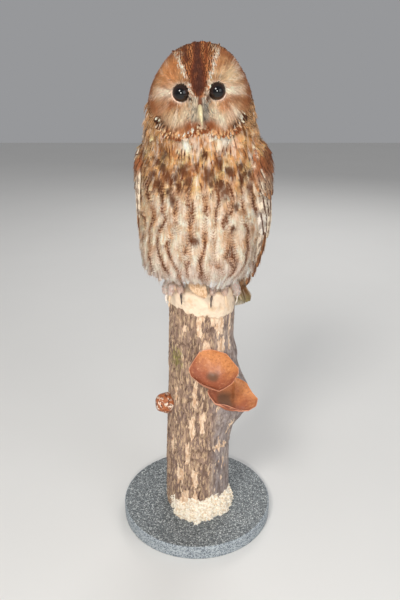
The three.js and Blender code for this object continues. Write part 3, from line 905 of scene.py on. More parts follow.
def lore_colors(points, luck):
    """The bristles beside the bill: pale and grey, with a rufous line down the middle."""
    x, z = face_place(points)
    low = smoothstep(-z, 27, 33)
    aside = smoothstep(np.abs(x - 1), 1, 5)
    line = (1 - smoothstep(np.abs(x - 0.5), 1.4, 3.4)) * smoothstep(z, -20, -14)
    tint = painted(points, (226, 204, 176), ((182, 166, 150), smoothstep(x, -1, 4)),
                   ((150, 142, 124), 0.3 + 0.6 * wave_noise(points, 5 * MM, 8)),
                   ((86, 84, 80), 0.8 * (luck < 0.26) * smoothstep(np.abs(x), 2, 5)),
                   ((124, 66, 38), 0.95 * line),
                   ((156, 86, 44), 0.9 * low * aside), ((196, 150, 116), 0.8 * low * (1 - aside)))
    return tint, painted(points, (96, 84, 74)), styled(points, 0.0, 0.0, 2.0)


def body_angle(points):
    """Degrees round the body from the middle of the breast, towards the bird's left."""
    x, y = points[:, 0] - BODY_AXIS[0], points[:, 1] - BODY_AXIS[1]
    return np.degrees(np.arctan2(x, -y) - BODY_TURN + math.pi) % 360 - 180


def body_colors(points, luck):
    """Orange breast, whitish belly and brown nape and mantle."""
    x, y, z = (points / MM).T
    angle = np.abs(body_angle(points))
    grain = wave_noise(points, 22 * MM, 11)
    fine = wave_noise(points, 9 * MM, 13)
    belly = 1 - smoothstep(z + 8 * grain + 8 * (luck - 0.5), 474, 504)
    throat = smoothstep(z, 530, 541)
    flank = smoothstep(-x, 40, 58) * smoothstep(z, 425, 450)
    ground = painted(points, (232, 194, 154), ((254, 238, 218), 0.58 + 0.7 * fine),
                     ((210, 156, 106), 0.7 * smoothstep(grain, 0.2, 0.85)))
    pale = smoothstep(fine + 0.6 * (luck - 0.5), 0.2, 0.9)
    dark = smoothstep(-fine + 0.6 * (luck - 0.5), 0.3, 0.9)
    layers = [((248, 194, 128), 0.5 + 0.7 * grain), ((250, 228, 196), 0.75 * pale * (1 - belly)),
              ((132, 80, 46), 0.6 * dark * (1 - belly)), (ground, belly),
              ((238, 198, 148), 0.5 * flank * (luck < 0.6)), ((104, 62, 38), 0.75 * flank * (luck > 0.78)),
              ((238, 220, 208), 0.7 * (1 - smoothstep(z, 385, 430)))]
    for bx, bz in ((-10, 541), (24, 547), (33, 547)):  # whitish patches on the throat
        bib = hump(x, bx, 9) * hump(z, bz, 9) * (y < 0)
        layers.append(((250, 236, 216), 1.1 * bib * (luck < 0.75)))
    for bx, bz, wide in ((-45, 545, 6), (-38, 539, 5), (55, 556, 6)):  # shaded folds of the neck
        shadow = hump(x, bx, wide) * hump(z, bz, 8) * (y < 10)
        layers.append(((92, 56, 38), 0.75 * shadow * (luck < 0.6)))
    nape = smoothstep(angle, 80 + 9 * throat, 115 + 5 * throat)
    mantle = painted(points, (134, 84, 50), ((168, 112, 68), 0.4 + 0.5 * grain))
    tint = painted(points, (206, 136, 76), *layers, (mantle, nape))
    mark = painted(points, (116, 64, 36), ((82, 42, 24), 0.4 + 0.6 * grain), ((62, 36, 24), nape))
    streak = 0.2 * ((luck * 5.1) % 1 < 0.35) * (1 - 0.5 * throat) * (1 - belly)
    return tint, mark, styled(points, streak * (1 - nape) + 0.26 * nape, 0.3 * nape, 2.2, luck)


def wing_colors(points, luck):
    angle = np.abs(body_angle(points))
    leading = smoothstep(angle, 112, 74) * (1 - smoothstep(points[:, 2] / MM, 488, 512))
    tint = painted(points, (160, 94, 58), ((204, 134, 88), 0.45 + 0.6 * wave_noise(points, 13 * MM, 17)),
                   ((240, 214, 182), 0.85 * leading))
    spot = 0.9 * (luck < 0.1 + 0.3 * leading) * smoothstep(angle, 130, 95)
    return tint, painted(points, (88, 50, 32)), styled(points, 0.1, 0.35, 1.8, spot)


def tail_colors(points, luck):
    z = points[:, 2] / MM
    tint = painted(points, (142, 96, 62), ((172, 124, 84), luck), ((160, 146, 104), smoothstep(z, 328, 312)),
                   ((226, 216, 200), smoothstep(z, 309, 304)))
    dark = smoothstep(z, 318, 330)
    return tint, painted(points, (92, 60, 40)), styled(points, 0.06 * dark, 0.6 * dark, 5.0, -0.5)


def fringe_colors(points, luck):
    """The belly's colours, whiter towards the lowest tips."""
    tint, mark, style = body_colors(points, luck)
    white = 0.6 * smoothstep(points[:, 2] / MM, 394, 376)
    return painted(points, tint, ((250, 240, 232), white)), mark, style


def cheek_colors(points, luck):
    tint, mark, style = head_colors(points, luck)
    layers = ((200, 154, 110), np.full(len(tint), 0.7)), ((246, 230, 212), 0.8 * (luck < 0.35))
    return painted(points, tint, *layers), mark, style * 0.4


def toe_colors(points, luck):
    inner = 1 - smoothstep(np.abs(points[:, 0] / MM - 6), 30, 38)
    tint = painted(points, (250, 212, 200), ((255, 229, 219), luck),
                   ((214, 188, 164), inner * (0.3 + 0.6 * luck)))
    return tint, painted(points, BUFF), styled(points, 0.0, 0.1, 2.0)


def ruff_colors(dark_share):
    """Each small ruff feather is either dark with a rufous tip or pale with a dark one."""
    def read(points, luck):
        low = smoothstep(-face_place(points)[1], 32, 42)
        shade = (luck * 5.3) % 1
        dark = ((luck * 13.7) % 1 < dark_share - 0.35 * low)[:, None]
        light = painted(points, (246, 214, 180), ((255, 240, 220), shade),
                        ((240, 172, 112), 0.85 * low * (shade < 0.85)))
        deep = painted(points, (46, 26, 20), ((104, 60, 36), shade), ((160, 86, 44), 0.7 * low))
        mark = np.where(dark, srgb(120, 70, 40), srgb(150, 84, 46))
        return np.where(dark, deep, light), mark, styled(points, 0.0, 0.3, 0.9)
    return read


def varied(colors, amount):
    """The same colours with each feather a little lighter or darker than the map says."""
    def read(points, luck):
        tint, mark, style = colors(points, luck)
        shade = 1 + amount * 3.4 * ((luck * 17.3) % 1 - 0.5)
        return np.clip(tint * shade[:, None], 0, 0.86), mark, style
    return read


# ---- directions in which the plumage lies -----------------------------------------------------------
HEAD_MIDDLE = np.array([5, 0, 592]) * MM
DOWN = np.array([0, 0, -1.0])
LEG_FLUFF = 0.374  # above this height the down hangs long, as on the legs


def fall(points, normals):
    """Down the body, swaying a little from side to side."""
    beside = unit(np.cross(normals, DOWN))
    return DOWN + beside * (0.30 * wave_noise(points, 42 * MM, 41))[:, None]


def over_crown(points, normals):
    """Up the forehead, back over the crown and down the nape, and back and down at the sides."""
    away = unit(points - HEAD_MIDDLE)
    over = np.cross(away, np.array([1.0, 0, 0]))
    side = smoothstep(np.abs(away[:, 0]), 0.55, 0.9)[:, None]
    return over * (1 - side) + side * np.array([0, 0.55, -0.85])


def from_eye(points, normals):
    x, z = face_place(points)
    return unit(np.stack([x - np.sign(x) * EYE_OUT, np.zeros(len(x)), z - 7], 1)) + 0.15 * DOWN


def from_bill(points, normals):
    x = face_place(points)[0]
    return unit(np.stack([x * 0.06, np.zeros(len(x)) - 0.1, -np.ones(len(x))], 1))


def along_toes(points, normals):
    """Down the legs, and outwards from the ankles over the toes."""
    ankle = np.where(points[:, :1] > 0.006, np.array([[0.034, -0.010]]), np.array([[-0.022, -0.012]]))
    way = np.concatenate([unit(points[:, :2] - ankle), np.full((len(points), 1), -0.45)], 1)
    return np.where(points[:, 2:] > LEG_FLUFF, DOWN, way)


# ---- where each kind of feather grows ---------------------------------------------------------------
HEAD_FOOT = 0.562  # the head's own feathers grow above this height
FACE_FOOT, FACE_BACK = 0.536, -0.004  # the face lies above the one and in front of the other
WINGS = solid_tree("wing_left", "wing_right")


def wing_gap(points):
    """How far points are from the solids of the wings."""
    return np.array([WINGS.find_nearest(p)[3] for p in points.tolist()])


def on_face(points):
    return (points[:, 2] > FACE_FOOT) & (points[:, 1] < FACE_BACK)


def on_brow(points):
    """The wedge of the brow between the discs, with its pale edges."""
    x, z = face_place(points)
    return (np.abs(x) < band_middle(z) + 3.0) & (z > -5) & (disc_reach(points) > 0.42)


def on_lores(points):
    x, z = face_place(points)
    return on_face(points) & (np.abs(x) < 10.0 - 0.05 * z) & (z <= 4) & (z > -37) & ~on_brow(points)


def on_disc(points):
    return on_face(points) & (disc_reach(points) < 1.0) & ~on_brow(points) & ~on_lores(points)


def on_ruff(points):
    reach = disc_reach(points)
    low = face_place(points)[1] < -21
    return on_face(points) & (reach >= 0.96) & (reach < 1.12) & low & ~on_lores(points)


def on_crown(points):
    return (points[:, 2] > HEAD_FOOT) & ~on_disc(points) & ~on_lores(points) & ~on_ruff(points)


def on_body(low, high):
    return lambda p: (p[:, 2] > low) & (p[:, 2] <= high) & (wing_gap(p) > 2 * MM)


def on_neck(points):
    return on_body(0.528, 0.568)(points) & ~on_disc(points) & ~on_ruff(points)


def on_mantle(points):
    z = points[:, 2]
    return (np.abs(body_angle(points)) > 118 + (0.545 - z) * 420) & (z > 0.43) & (z < 0.55)


def on_toes(points):
    """The legs and toes, except for the tip of the inner right one."""
    inner_tip = (points[:, 2] < 0.3635) & (np.abs(points[:, 0] + 0.019) < 0.006)
    return (points[:, 2] > 0.346) & ~inner_tip


def eye_gap(points):
    """How far points are from the nearer glass eye."""
    return np.min([np.linalg.norm(points - eye, axis=1) for eye in EYES.values()], axis=0) - EYE_RADIUS


# ---- pieces of the plumage --------------------------------------------------------------------------
FRINGE = (  # degrees from straight ahead, and the height in mm of the belly's lowest tips
    (-130, 384), (-85, 384), (-62, 379), (-44, 373), (-27, 370), (-20, 374), (8, 373), (15, 366),
    (28, 366), (40, 371), (52, 377), (75, 383), (130, 384))


def spread(count, low, high):
    return rng.uniform(low, high, count)


def measure(value, points):
    """Metres at each point, from millimetres given as a number or as a function of place."""
    return (value(points) if callable(value) else np.full(len(points), float(value))) * MM


def struck(tree, core, way, far=0.2):
    """Where a solid is struck from outside, straight towards a point of its core, or None."""
    way = Vector(way)
    return tree.ray_cast(Vector(core) + way * far, -way, far)[0]


def coat_of(name, look, shell, keep, spacing, flow, sizes, rise, colors, shapes, jitter, tries):
    """A coat over the part of a shell that keep allows. The spacing, the sizes (length, width) and the
    rise (depth of the root, height of the tip) are measures."""
    roots, normals = shell.scattered(lambda points: measure(spacing, points), keep, tries)
    count = len(roots)
    way = unit(flow(roots, normals)) + jitter * rng.normal(size=(count, 3))
    length = measure(sizes[0], roots) * spread(count, 0.82, 1.16)
    width = measure(sizes[1], roots) * spread(count, 0.85, 1.15)
    lift = measure(rise[1], roots) * spread(count, 0.1, 1.2) * (1 + 0.9 * (rng.random(count) < 0.06))
    coat = Coat(name, look)
    coat.lay(shell, shapes, roots, way, (length, width), (measure(rise[0], roots), lift), colors)
    return coat


def build_head(shell, look):
    bristles = [down_tuft(0.8) for _ in range(8)]
    small = [soft_feather(13, (4, 3), 0.9, 0.5) for _ in range(6)]
    coat_of("facial_discs", look, shell, lambda p: on_disc(p) & (eye_gap(p) > 0.7 * MM), 1.0, from_eye,
            (lambda p: 6.5 + 6 * smoothstep(disc_reach(p), 0.3, 0.9), 2.3), (1.6, 0.9),
            varied(disc_colors, 0.12), bristles, jitter=0.12, tries=260000).piece()
    coat_of("lore_bristles", look, shell, lambda p: on_lores(p) & (eye_gap(p) > 0.7 * MM), 0.9, from_bill,
            (8, 1.8), (1.5, 0.9), varied(lore_colors, 0.12), bristles, jitter=0.16, tries=120000).piece()
    coat_of("crown_feathers", look, shell, on_crown, lambda p: np.where(on_face(p), 1.8, 2.6), over_crown,
            (lambda p: np.where(on_face(p), 8, 16), lambda p: np.where(on_face(p), 4.2, 8)),
            (2.6, lambda p: 0.9 + 0.5 * smoothstep(p[:, 2], 0.622, 0.642)),
            varied(head_colors, 0.13), small, jitter=0.14, tries=160000).piece("head")
    build_ruff(shell, small, look)
    build_wisps(shell, bristles, look)


def build_ruff(shell, shapes, look):
    coat = Coat("ruff", look)
    for row, (reach, dark_share) in enumerate(((0.98, 0.45), (1.03, 0.7), (1.08, 0.97))):
        for side in (-1, 1):
            turn = np.radians(np.arange(-117, -36, 2.1) + 1.05 * (row % 2))
            turn = turn + rng.normal(size=len(turn)) * 0.02
            edge = disc_edge(turn) * (reach + 0.02 * rng.normal(size=len(turn)))
            aside = side * (EYE_OUT + np.cos(turn) * edge)
            x, z = spun(aside, np.sin(turn) * edge, FACE_ROLL)
            at = np.stack([FACE_MIDDLE[0] + x * MM, np.full(len(x), -0.2), FACE_MIDDLE[2] + z * MM], 1)
            hits = [shell.tree.ray_cast(Vector(p), Vector((0, 1, 0)))[0] for p in at]
            good = [k for k, hit in enumerate(hits) if hit is not None and aside[k] * side > 1.0]
            if not good:
                continue
            count = len(good)
            way = np.stack([side * np.cos(turn), np.zeros(len(x)), np.sin(turn) - 0.4], 1)[good]
            way = way + 0.42 * rng.normal(size=way.shape)
            size = (spread(count, 5.0, 9.5) * MM, spread(count, 1.6, 3.3) * MM)
            rise = (np.full(count, 0.9 * MM), spread(count, 0.3, 1.6 + 0.8 * row) * MM)
            coat.lay(shell, shapes, np.array([hits[k] for k in good]), way, size, rise,
                     varied(ruff_colors(dark_share), 0.12))
    coat.piece()


def build_wisps(shell, shapes, look):
    """Loose tufts that stand out from the cheeks and the sides of the neck."""
    coat = Coat("cheek_wisps", look)
    outlook = np.array([0, -1.0, 0.2])
    part = np.linspace(0, 1, 5)[None, :, None]
    for side, count, low, high in ((-1, 26, 0.546, 0.584), (1, 44, 0.540, 0.586)):
        starts = zip(spread(count, -0.024, 0.014), spread(count, low, high))
        hits = [shell.tree.ray_cast(Vector((side * 0.15, y, z)), Vector((-side, 0, 0))) for y, z in starts]
        roots = np.array([hit[0] for hit in hits])
        way = unit(np.array([side * 0.22, -0.1, -0.8]) + 0.2 * rng.normal(size=(count, 3)))
        length = spread(count, 7, 13)[:, None, None] * MM
        line = roots[:, None] + way[:, None] * part * length
        line = line + np.array([0, 0, -0.25]) * part**2 * length
        normals = np.repeat(unit(outlook - way * (way @ outlook)[:, None])[:, None], 5, axis=1)
        flat = np.zeros(count)
        coat.dress(shapes, line, normals, spread(count, 3.5, 6) * MM, (flat, flat),
                   varied(cheek_colors, 0.16))
    coat.piece()


def build_body(shell, look):
    soft = [soft_feather(20, (5, 4), 1.3, 0.4) for _ in range(8)]
    loose = [soft_feather(22, (4, 3), 2.0, 0.4) for _ in range(8)]
    beds = (  # name, node, where it grows, spacing, length and width, depth and lift, shapes, jitter
        ("neck_feathers", "neck", on_neck, 2.7, (20, 8), (5, 2.2), loose, 0.2),
        ("breast_feathers", "trunk", on_body(0.466, 0.532), 3.4, (27, 12), (6, 2.0), soft, 0.15),
        ("mantle_feathers", "trunk", on_mantle, 4.2, (30, 14), (3, 2.0), soft, 0.08),
        ("belly_down", "trunk", on_body(0.376, 0.472), 4.0, (27, 13), (6, 1.2), loose, 0.15))
    for name, under, keep, gap, sizes, rise, shapes, jitter in beds:
        coat = coat_of(name, look, shell, keep, gap, fall, sizes, rise, varied(body_colors, 0.12), shapes,
                       jitter, tries=90000)
        coat.piece(under)
    build_belly(shell, soft, look)
    build_fringe(shell, loose, look)


def build_belly(shell, shapes, look):
    """The belly's outer feathers grow in columns, as long soft locks."""
    roots = []
    for number, turn in enumerate(np.radians(np.arange(-105, 106, 13)) + BODY_TURN):
        for z in np.arange(0.490, 0.375, -0.0085) + 0.004 * (number % 2):
            turned = turn + 0.05 * math.sin(z * 70 + number * 2.1)
            hit = struck(shell.tree, (*BODY_AXIS, z), (math.sin(turned), -math.cos(turned), 0))
            if hit is not None and WINGS.find_nearest(hit)[3] > 1 * MM:
                roots.append(hit)
    roots = np.array(roots)
    count = len(roots)
    way = fall(roots, shell.nearest(roots)[1]) + 0.06 * rng.normal(size=(count, 3))
    size = (spread(count, 30, 37) * MM, spread(count, 13, 16) * MM)
    rise = (np.full(count, 4 * MM), spread(count, 0.8, 2.6) * MM)
    coat = Coat("belly_feathers", look)
    coat.lay(shell, shapes, roots, way, size, rise, varied(body_colors, 0.1))
    coat.piece("trunk")


def build_fringe(shell, shapes, look):
    """Loose feathers hang from the belly's lower edge to the perch, at the sides in ragged locks."""
    part = np.linspace(0, 1, 5)
    lines, normals = [], []
    for top, spare in ((0.412, 15), (0.405, 7), (0.399, 3), (0.394, 0)):
        for turn in np.radians(np.arange(-130, 131, 4.2)) + BODY_TURN:
            turned = turn + 0.03 * rng.normal()
            low = (table_at(FRINGE, math.degrees(turned)) + spare + rng.uniform(-2.5, 2.5)) * MM
            beside = float(smoothstep(abs(math.degrees(turned)), 35, 60))
            low += (0.004 * math.sin(turned * 23) + 0.002 * rng.normal()) * beside
            z = max(top, low + 0.017)
            way = Vector((math.sin(turned), -math.cos(turned), 0))
            hit = struck(shell.tree, (*BODY_AXIS, z), way)
            if hit is None or WINGS.find_nearest(hit)[3] < 2 * MM:
                continue
            reach = math.hypot(hit.x - BODY_AXIS[0], hit.y - BODY_AXIS[1]) - 2 * MM
            inward = reach * (1 - (0.22 - 0.22 * beside) * part**1.7)
            lines.append(np.stack([BODY_AXIS[0] + way.x * inward, BODY_AXIS[1] + way.y * inward,
                                   z - (z - low) * part], 1))
            normals.append(np.tile(np.array(way), (5, 1)))
    count = len(lines)
    coat = Coat("belly_fringe", look)
    coat.dress(shapes, np.array(lines), np.array(normals), spread(count, 5, 9) * MM,
               (np.full(count, -2 * MM), spread(count, 0, 2.5) * MM), varied(fringe_colors, 0.16))
    coat.piece("trunk")


# ---- the wings and the tail -------------------------------------------------------------------------
WING_SPAN = (  # height in mm, and degrees round from the spine to the leading and the trailing edge
    (330, 42, 24), (372, 60, 10), (415, 88, 9), (468, 108, 12), (521, 116, 20), (543, 96, 40))
PRIMARIES = {  # feathers at the left (1) and right (-1) edge: start and end in mm, and width
    1: (((89, -8, 480), (89, -6, 421), 8), ((87, -2, 474), (84, 2, 396), 12),
        ((85, 4, 462), (80, 8, 378), 13), ((82, 9, 452), (75, 14, 362), 13),
        ((79, 14, 440), (68, 20, 349), 14), ((84, -8, 490), (86, -10, 440), 9)),
    -1: (((-68, -12, 512), (-71, -11, 448), 9), ((-67, -7, 500), (-71, -6, 430), 11),
         ((-66, -3, 488), (-70, -2, 414), 12), ((-66, 2, 476), (-67, 3, 400), 12))}
COVERTS = (  # rows of wing coverts: top, length, step along the row, width, share with spots, pale colour
    (0.480, 52, 0.075, 17, 0.5, (250, 238, 222)), (0.497, 40, 0.075, 16, 0.5, (250, 232, 208)),
    (0.511, 34, 0.075, 15, 0.3, (196, 138, 92)))


class Sheet:
    """The outer face of a folded wing, by share of the way back from its leading edge and by height."""

    def __init__(self, side):
        tree = solid_tree("wing_left" if side > 0 else "wing_right")
        self.heights = np.linspace(0.333, 0.541, 70)
        self.shares = np.linspace(0.0, 1.0, 36)
        start, end = (table_at(WING_SPAN, self.heights / MM, column) for column in (1, 2))
        grid = np.full((len(self.heights), len(self.shares), 3), np.nan)
        for i, j in np.ndindex(grid.shape[:2]):
            inset = 0.02 + 0.96 * self.shares[j]
            turn = SPINE - side * math.radians(start[i] + (end[i] - start[i]) * inset)
            hit = struck(tree, (*BODY_AXIS, self.heights[i]), (math.cos(turn), math.sin(turn), 0))
            if hit is not None:
                grid[i, j] = hit
        self.grid = self.filled(grid)
        normal = unit(np.cross(np.gradient(self.grid, axis=0), np.gradient(self.grid, axis=1)))
        outward = self.grid - np.array([*BODY_AXIS, 0])
        outward[..., 2] = 0
        self.normals = normal * np.sign((normal * outward).sum(-1, keepdims=True))

    def filled(self, grid):
        """The grid smoothed, with its gaps filled along its rows and then along its columns."""
        for lines, along in ((grid, self.shares), (grid.swapaxes(0, 1), self.heights)):
            for line in lines:
                good = ~np.isnan(line[:, 0])
                if good.sum() >= 2:
                    for k in range(3):
                        line[:, k] = np.interp(along, along[good], line[good, k])
        for _ in range(3):
            inner = (grid[:-2, 1:-1] + grid[2:, 1:-1] + grid[1:-1, :-2] + grid[1:-1, 2:]) / 4
            grid[1:-1, 1:-1] = grid[1:-1, 1:-1] * 0.4 + inner * 0.6
        return grid

    def read(self, a, z):
        """Places and normals by share and height; past its ends the sheet runs straight up or down."""
        step = self.heights[1] - self.heights[0]
        i = np.clip((z - self.heights[0]) / step, 0, len(self.heights) - 1.001)
        j = np.clip(a * (len(self.shares) - 1), 0, len(self.shares) - 1.001)
        row, column = i.astype(int), j.astype(int)
        u, v = (i - row)[..., None], (j - column)[..., None]
        found = []
        for field in (self.grid, self.normals):
            low = field[row, column] * (1 - v) + field[row, column + 1] * v
            high = field[row + 1, column] * (1 - v) + field[row + 1, column + 1] * v
            found.append(low * (1 - u) + high * u)
        at, normal = found
        at[..., 2] += z - np.clip(z, self.heights[0], self.heights[-1])
        return at, unit(normal)

    def lines(self, a, top, tip, steps, sweep=0.0):
        """Feathers' centre lines down the sheet and their normals."""
        part = np.linspace(0, 1, steps + 1)[None]
        return self.read(a[:, None] + sweep * part, top[:, None] + (tip - top)[:, None] * part)


def uneven(count, tint, mark):
    """Rows of two colours for so many feathers, each a little lighter or darker."""
    shade = 1 + 0.09 * rng.normal(size=(count, 1)).clip(-2, 2)
    return np.clip(srgb(*tint) * shade, 0, 1), srgb(*mark) * shade


def build_flight(name, sheet, firm, look):
    coat = Coat("flight_feathers_" + name, look)
    count = 15
    a = np.linspace(0.02, 0.98, count)
    tip = 0.331 + 0.026 * (np.abs(a - 0.45) / 0.55) ** 1.5
    line, normals = sheet.lines(a, np.full(count, 0.476), tip, steps=10)
    layer = (0.2 + 2.2 * a) * MM
    tint, mark = uneven(count, (206, 164, 124), (110, 70, 46))
    tint = painted(a, tint, ((146, 98, 60), 0.2 + 0.8 * smoothstep(a, 0.2, 0.55)),
                   ((246, 228, 206), 0.8 * (1 - smoothstep(a, 0.05, 0.3))))
    coat.dress(firm, line, normals, np.linspace(15, 22, count) * MM, (layer - 2 * MM, layer),
               (tint, mark, styled(a, 0.04, 0.75, 7.0, -0.9 + 0.6 * a)))
    coat.piece("wing_" + name)


def build_coverts(name, sheet, covert, soft, look):
    coat = Coat("wing_coverts_" + name, look)
    for row, (top, length, step, wide, spotted, pale) in enumerate(COVERTS):
        a = np.arange(0.02, 1.0, step) + step * 0.5 * (row % 2)
        a = a + rng.normal(size=len(a)) * 0.008
        count = len(a)
        start = top + spread(count, -3, 3) * MM
        line, normals = sheet.lines(a, start, start - length * MM * spread(count, 0.92, 1.08), steps=6)
        tint, mark = uneven(count, (160, 100, 62), (88, 50, 34))
        tint = painted(a, tint, (pale, np.clip(1.15 - 2.0 * a, 0, 0.9)))
        spots = np.where(rng.random(count) < spotted, np.clip(1.4 - 2.2 * a, 0, 1), -0.8)
        lift = (1.2 + row * 0.9) * MM + 1.6 * a * MM + spread(count, 0, 0.5) * MM
        coat.dress(covert, line, normals, np.full(count, wide * MM), (np.full(count, -1.5 * MM), lift),
                   (tint, mark, styled(a, 0.12, 0.55, 3.2 - row * 0.5, spots)))
    step = 0.055
    for row, top in enumerate(np.arange(0.542, 0.500, -0.0055)):  # the shoulder's small feathers
        a = np.arange(0.0, 1.01, step) + step * 0.5 * (row % 2)
        a = a + rng.normal(size=len(a)) * 0.014
        count = len(a)
        start = top + spread(count, -3, 3) * MM
        line, normals = sheet.lines(a, start, start - spread(count, 20, 29) * MM, steps=5, sweep=0.02)
        lift = spread(count, 3.2, 4.6) * MM
        coat.dress(soft, line, normals, spread(count, 10, 14) * MM, (np.full(count, -2.5 * MM), lift),
                   varied(wing_colors, 0.14))
    coat.piece("wing_" + name)


def build_primaries(side, name, look):
    """Long pale-edged feathers that show beyond the body's outline."""
    shapes = [firm_feather(15, 7, 0.8, 8) for _ in range(3)]
    part = np.linspace(0, 1, 9)[:, None]
    start, end = (np.array([row[k] for row in PRIMARIES[side]], float)[:, None] for k in (0, 1))
    lines = start + (end - start) * part
    lines[..., 0] += side * 2.2 * np.sin(math.pi * part[:, 0])
    count = len(lines)
    normals = np.tile(unit(np.array([side * 0.75, -0.66, 0.0])), (count, 9, 1))
    widths = np.array([row[2] for row in PRIMARIES[side]]) * MM
    tint, mark = uneven(count, (170, 118, 78), (92, 54, 36))
    tint[0] = srgb(238, 218, 192)
    flat = np.zeros(count)
    coat = Coat("primaries_" + name, look)
    coat.dress(shapes, lines * MM, normals, widths, (flat, flat),
               (tint, mark, styled(flat, 0.14, 0.55, 5.0, -0.9)))
    coat.piece("wing_" + name)


def build_wing(side, look):
    name = "left" if side > 0 else "right"
    sheet = Sheet(side)
    firm = [firm_feather(17, 7, 0.9, 10) for _ in range(4)]
    covert = [firm_feather(9, 5, 0.6, 18) for _ in range(6)]
    soft = [soft_feather(20, (5, 4), 1.0, 0.35) for _ in range(6)]
    build_flight(name, sheet, firm, look)
    build_coverts(name, sheet, covert, soft, look)
    build_primaries(side, name, look)


def build_tail(look):
    tree = solid_tree("tail")
    firm = [firm_feather(15, 7, 0.9, 10) for _ in range(4)]
    count = 12
    share = np.linspace(-1, 1, count)
    part = np.linspace(0, 1, 9)
    root, tip = np.array([20, 412.0]) * MM, np.array([47, 300.0]) * MM  # across and up
    lines, normals = np.zeros((count, 9, 3)), np.zeros((count, 9, 3))
    for i, j in np.ndindex(count, 9):
        x, z = root + (tip + np.array([0, 9 * MM * share[i] ** 2]) - root) * part[j]
        x += share[i] * (9 + 17 * part[j]) * MM
        at, normal = tree.ray_cast(Vector((x, 0.3, z)), Vector((0, -1, 0)))[:2]
        if at is None:
            at, normal = (x, tree.find_nearest(Vector((x, 0.08, z)))[0].y, z), (0, 1, 0)
        lines[i, j], normals[i, j] = at, normal
    for _ in range(4):
        lines[:, 1:-1] = (lines[:, :-2] + lines[:, 2:]) / 4 + lines[:, 1:-1] / 2
        normals[:, 1:-1] = (normals[:, :-2] + normals[:, 2:]) / 4 + normals[:, 1:-1] / 2
    layer = (2.4 - 2.6 * np.abs(share)) * MM - 2.4 * MM
    coat = Coat("tail_feathers", look)
    coat.dress(firm, lines, unit(normals), np.full(count, 17 * MM), (layer, layer), tail_colors)
    coat.piece("tail")


# ---- the legs and toes ------------------------------------------------------------------------------
OUTER_TOES = (  # the outer toe of each foot, as places and radii in mm from its root to its claw
    ((-31, -13, 367, 5.2), (-35.5, -15, 364, 5.2), (-38.5, -17, 357, 4.8), (-38.5, -18, 350, 3.4)),
    ((42, -13, 368, 5.4), (47.5, -17, 365, 5.4), (50.5, -19, 357, 5.0), (51, -19, 349, 3.6)))


def toe_tube(path):
    """A closed tube through a toe's places, in metres, and its quads."""
    path = np.array(path, float)
    part = np.linspace(0, len(path) - 1, 13)
    x, y, z, radius = (np.interp(part, np.arange(len(path)), path[:, k]) for k in range(4))
    radius[[0, -1]] = 0.05
    spine = np.stack([x, y, z], 1)
    way = unit(np.gradient(spine, axis=0))
    one = unit(np.cross(way, [0.0, 1.0, 0.0]))
    two = np.cross(way, one)
    turn = circle(14)[None, :, None]
    out = one[:, None] * np.cos(turn) + two[:, None] * np.sin(turn)
    ring = spine[:, None] + out * radius[:, None, None]
    return ring.reshape(-1, 3) * MM, grid_faces(13, 14, True)


def build_legs(look):
    shell = Shell([(["leg_left", "leg_right", "foot_left", "foot_right"], None)], voxel=1.3 * MM, rounds=2,
                  swell=0.3 * MM, extra=[toe_tube(path) for path in OUTER_TOES])
    fluff = [down_tuft() for _ in range(6)]

    def by_height(leg, toe):
        return lambda points: np.where(points[:, 2] > LEG_FLUFF, leg, toe)

    coat = coat_of("toe_down", look, shell, on_toes, by_height(2.6, 1.15), along_toes,
                   (by_height(17, 6.0), by_height(7, 2.4)), (0.5, by_height(4.0, 1.5)),
                   varied(toe_colors, 0.08), fluff, jitter=0.4, tries=60000)
    coat.piece("leg_left", "leg_right", "foot_left", "foot_right")


# ---- the skin ---------------------------------------------------------------------------------------
def coat_depth(points):
    """How far the skin lies under the coat's outer surface, in metres."""
    z = points[:, 2]
    head = smoothstep(z, 0.545, 0.565)
    deep = 6.0 * (1 - head) + 4.0 * head
    thinner = (
        (on_face(points) & (disc_reach(points) < 1.05), 2.4), (eye_gap(points) < 2.5 * MM, 3.2),
        (z < 0.392, 3.0), (z < 0.372, 0.9), (wing_gap(points) < 1.2 * MM, 3.0))
    for here, depth in thinner:
        deep = np.where(here, depth, deep)
    return deep * MM


def sideways(gaze):
    """The ways to the right of a gaze and up from it."""
    right = unit(np.cross(gaze, [0, 0, 1.0]))
    return right, np.cross(right, gaze)


def eyelid(eye, side):
    """A thin ring round a glass eye, as points, quads and colours."""
    gaze = unit(np.array([0.16 * side, -1.0, 0.03]))
    right, up = sideways(gaze)
    around, across = 48, 10
    t, p = circle(around), circle(across)
    low = smoothstep(np.cos(t - math.radians(270 - 50 * side)), 0.1, 0.8)  # the lid's pale outer part
    thick = (0.5 + 0.55 * low) * MM
    out = np.cos(t)[:, None] * right + np.sin(t)[:, None] * up
    radius = EYE_RADIUS + thick[:, None] * np.cos(p)[None]
    forward = (0.8 + 1.7 * low[:, None]) * MM + thick[:, None] * 1.5 * np.sin(p)[None]
    places = eye + out[:, None] * radius[..., None] + gaze * forward[..., None]
    faces = grid_faces(around + 1, across, True) % (around * across)
    tint = painted(t, (50, 38, 34), ((244, 208, 184), low))
    return places.reshape(-1, 3), faces, np.repeat(tint, across, axis=0)


def skin_tint(points):
    """The plumage's own colours a little darker, for what shows between the feathers."""
    luck = np.full(len(points), 0.5)
    tint = body_colors(points, luck)[0]
    kinds = ((points[:, 2] > HEAD_FOOT, head_colors), (on_disc(points), disc_colors),
             (on_lores(points), lore_colors), (wing_gap(points) < 1.2 * MM, wing_colors))
    for here, colors in kinds:
        tint = np.where(here[:, None], colors(points, luck)[0], tint)
    return np.where(points[:, 2:] < 0.376, srgb(*CREAM), tint) * 0.85


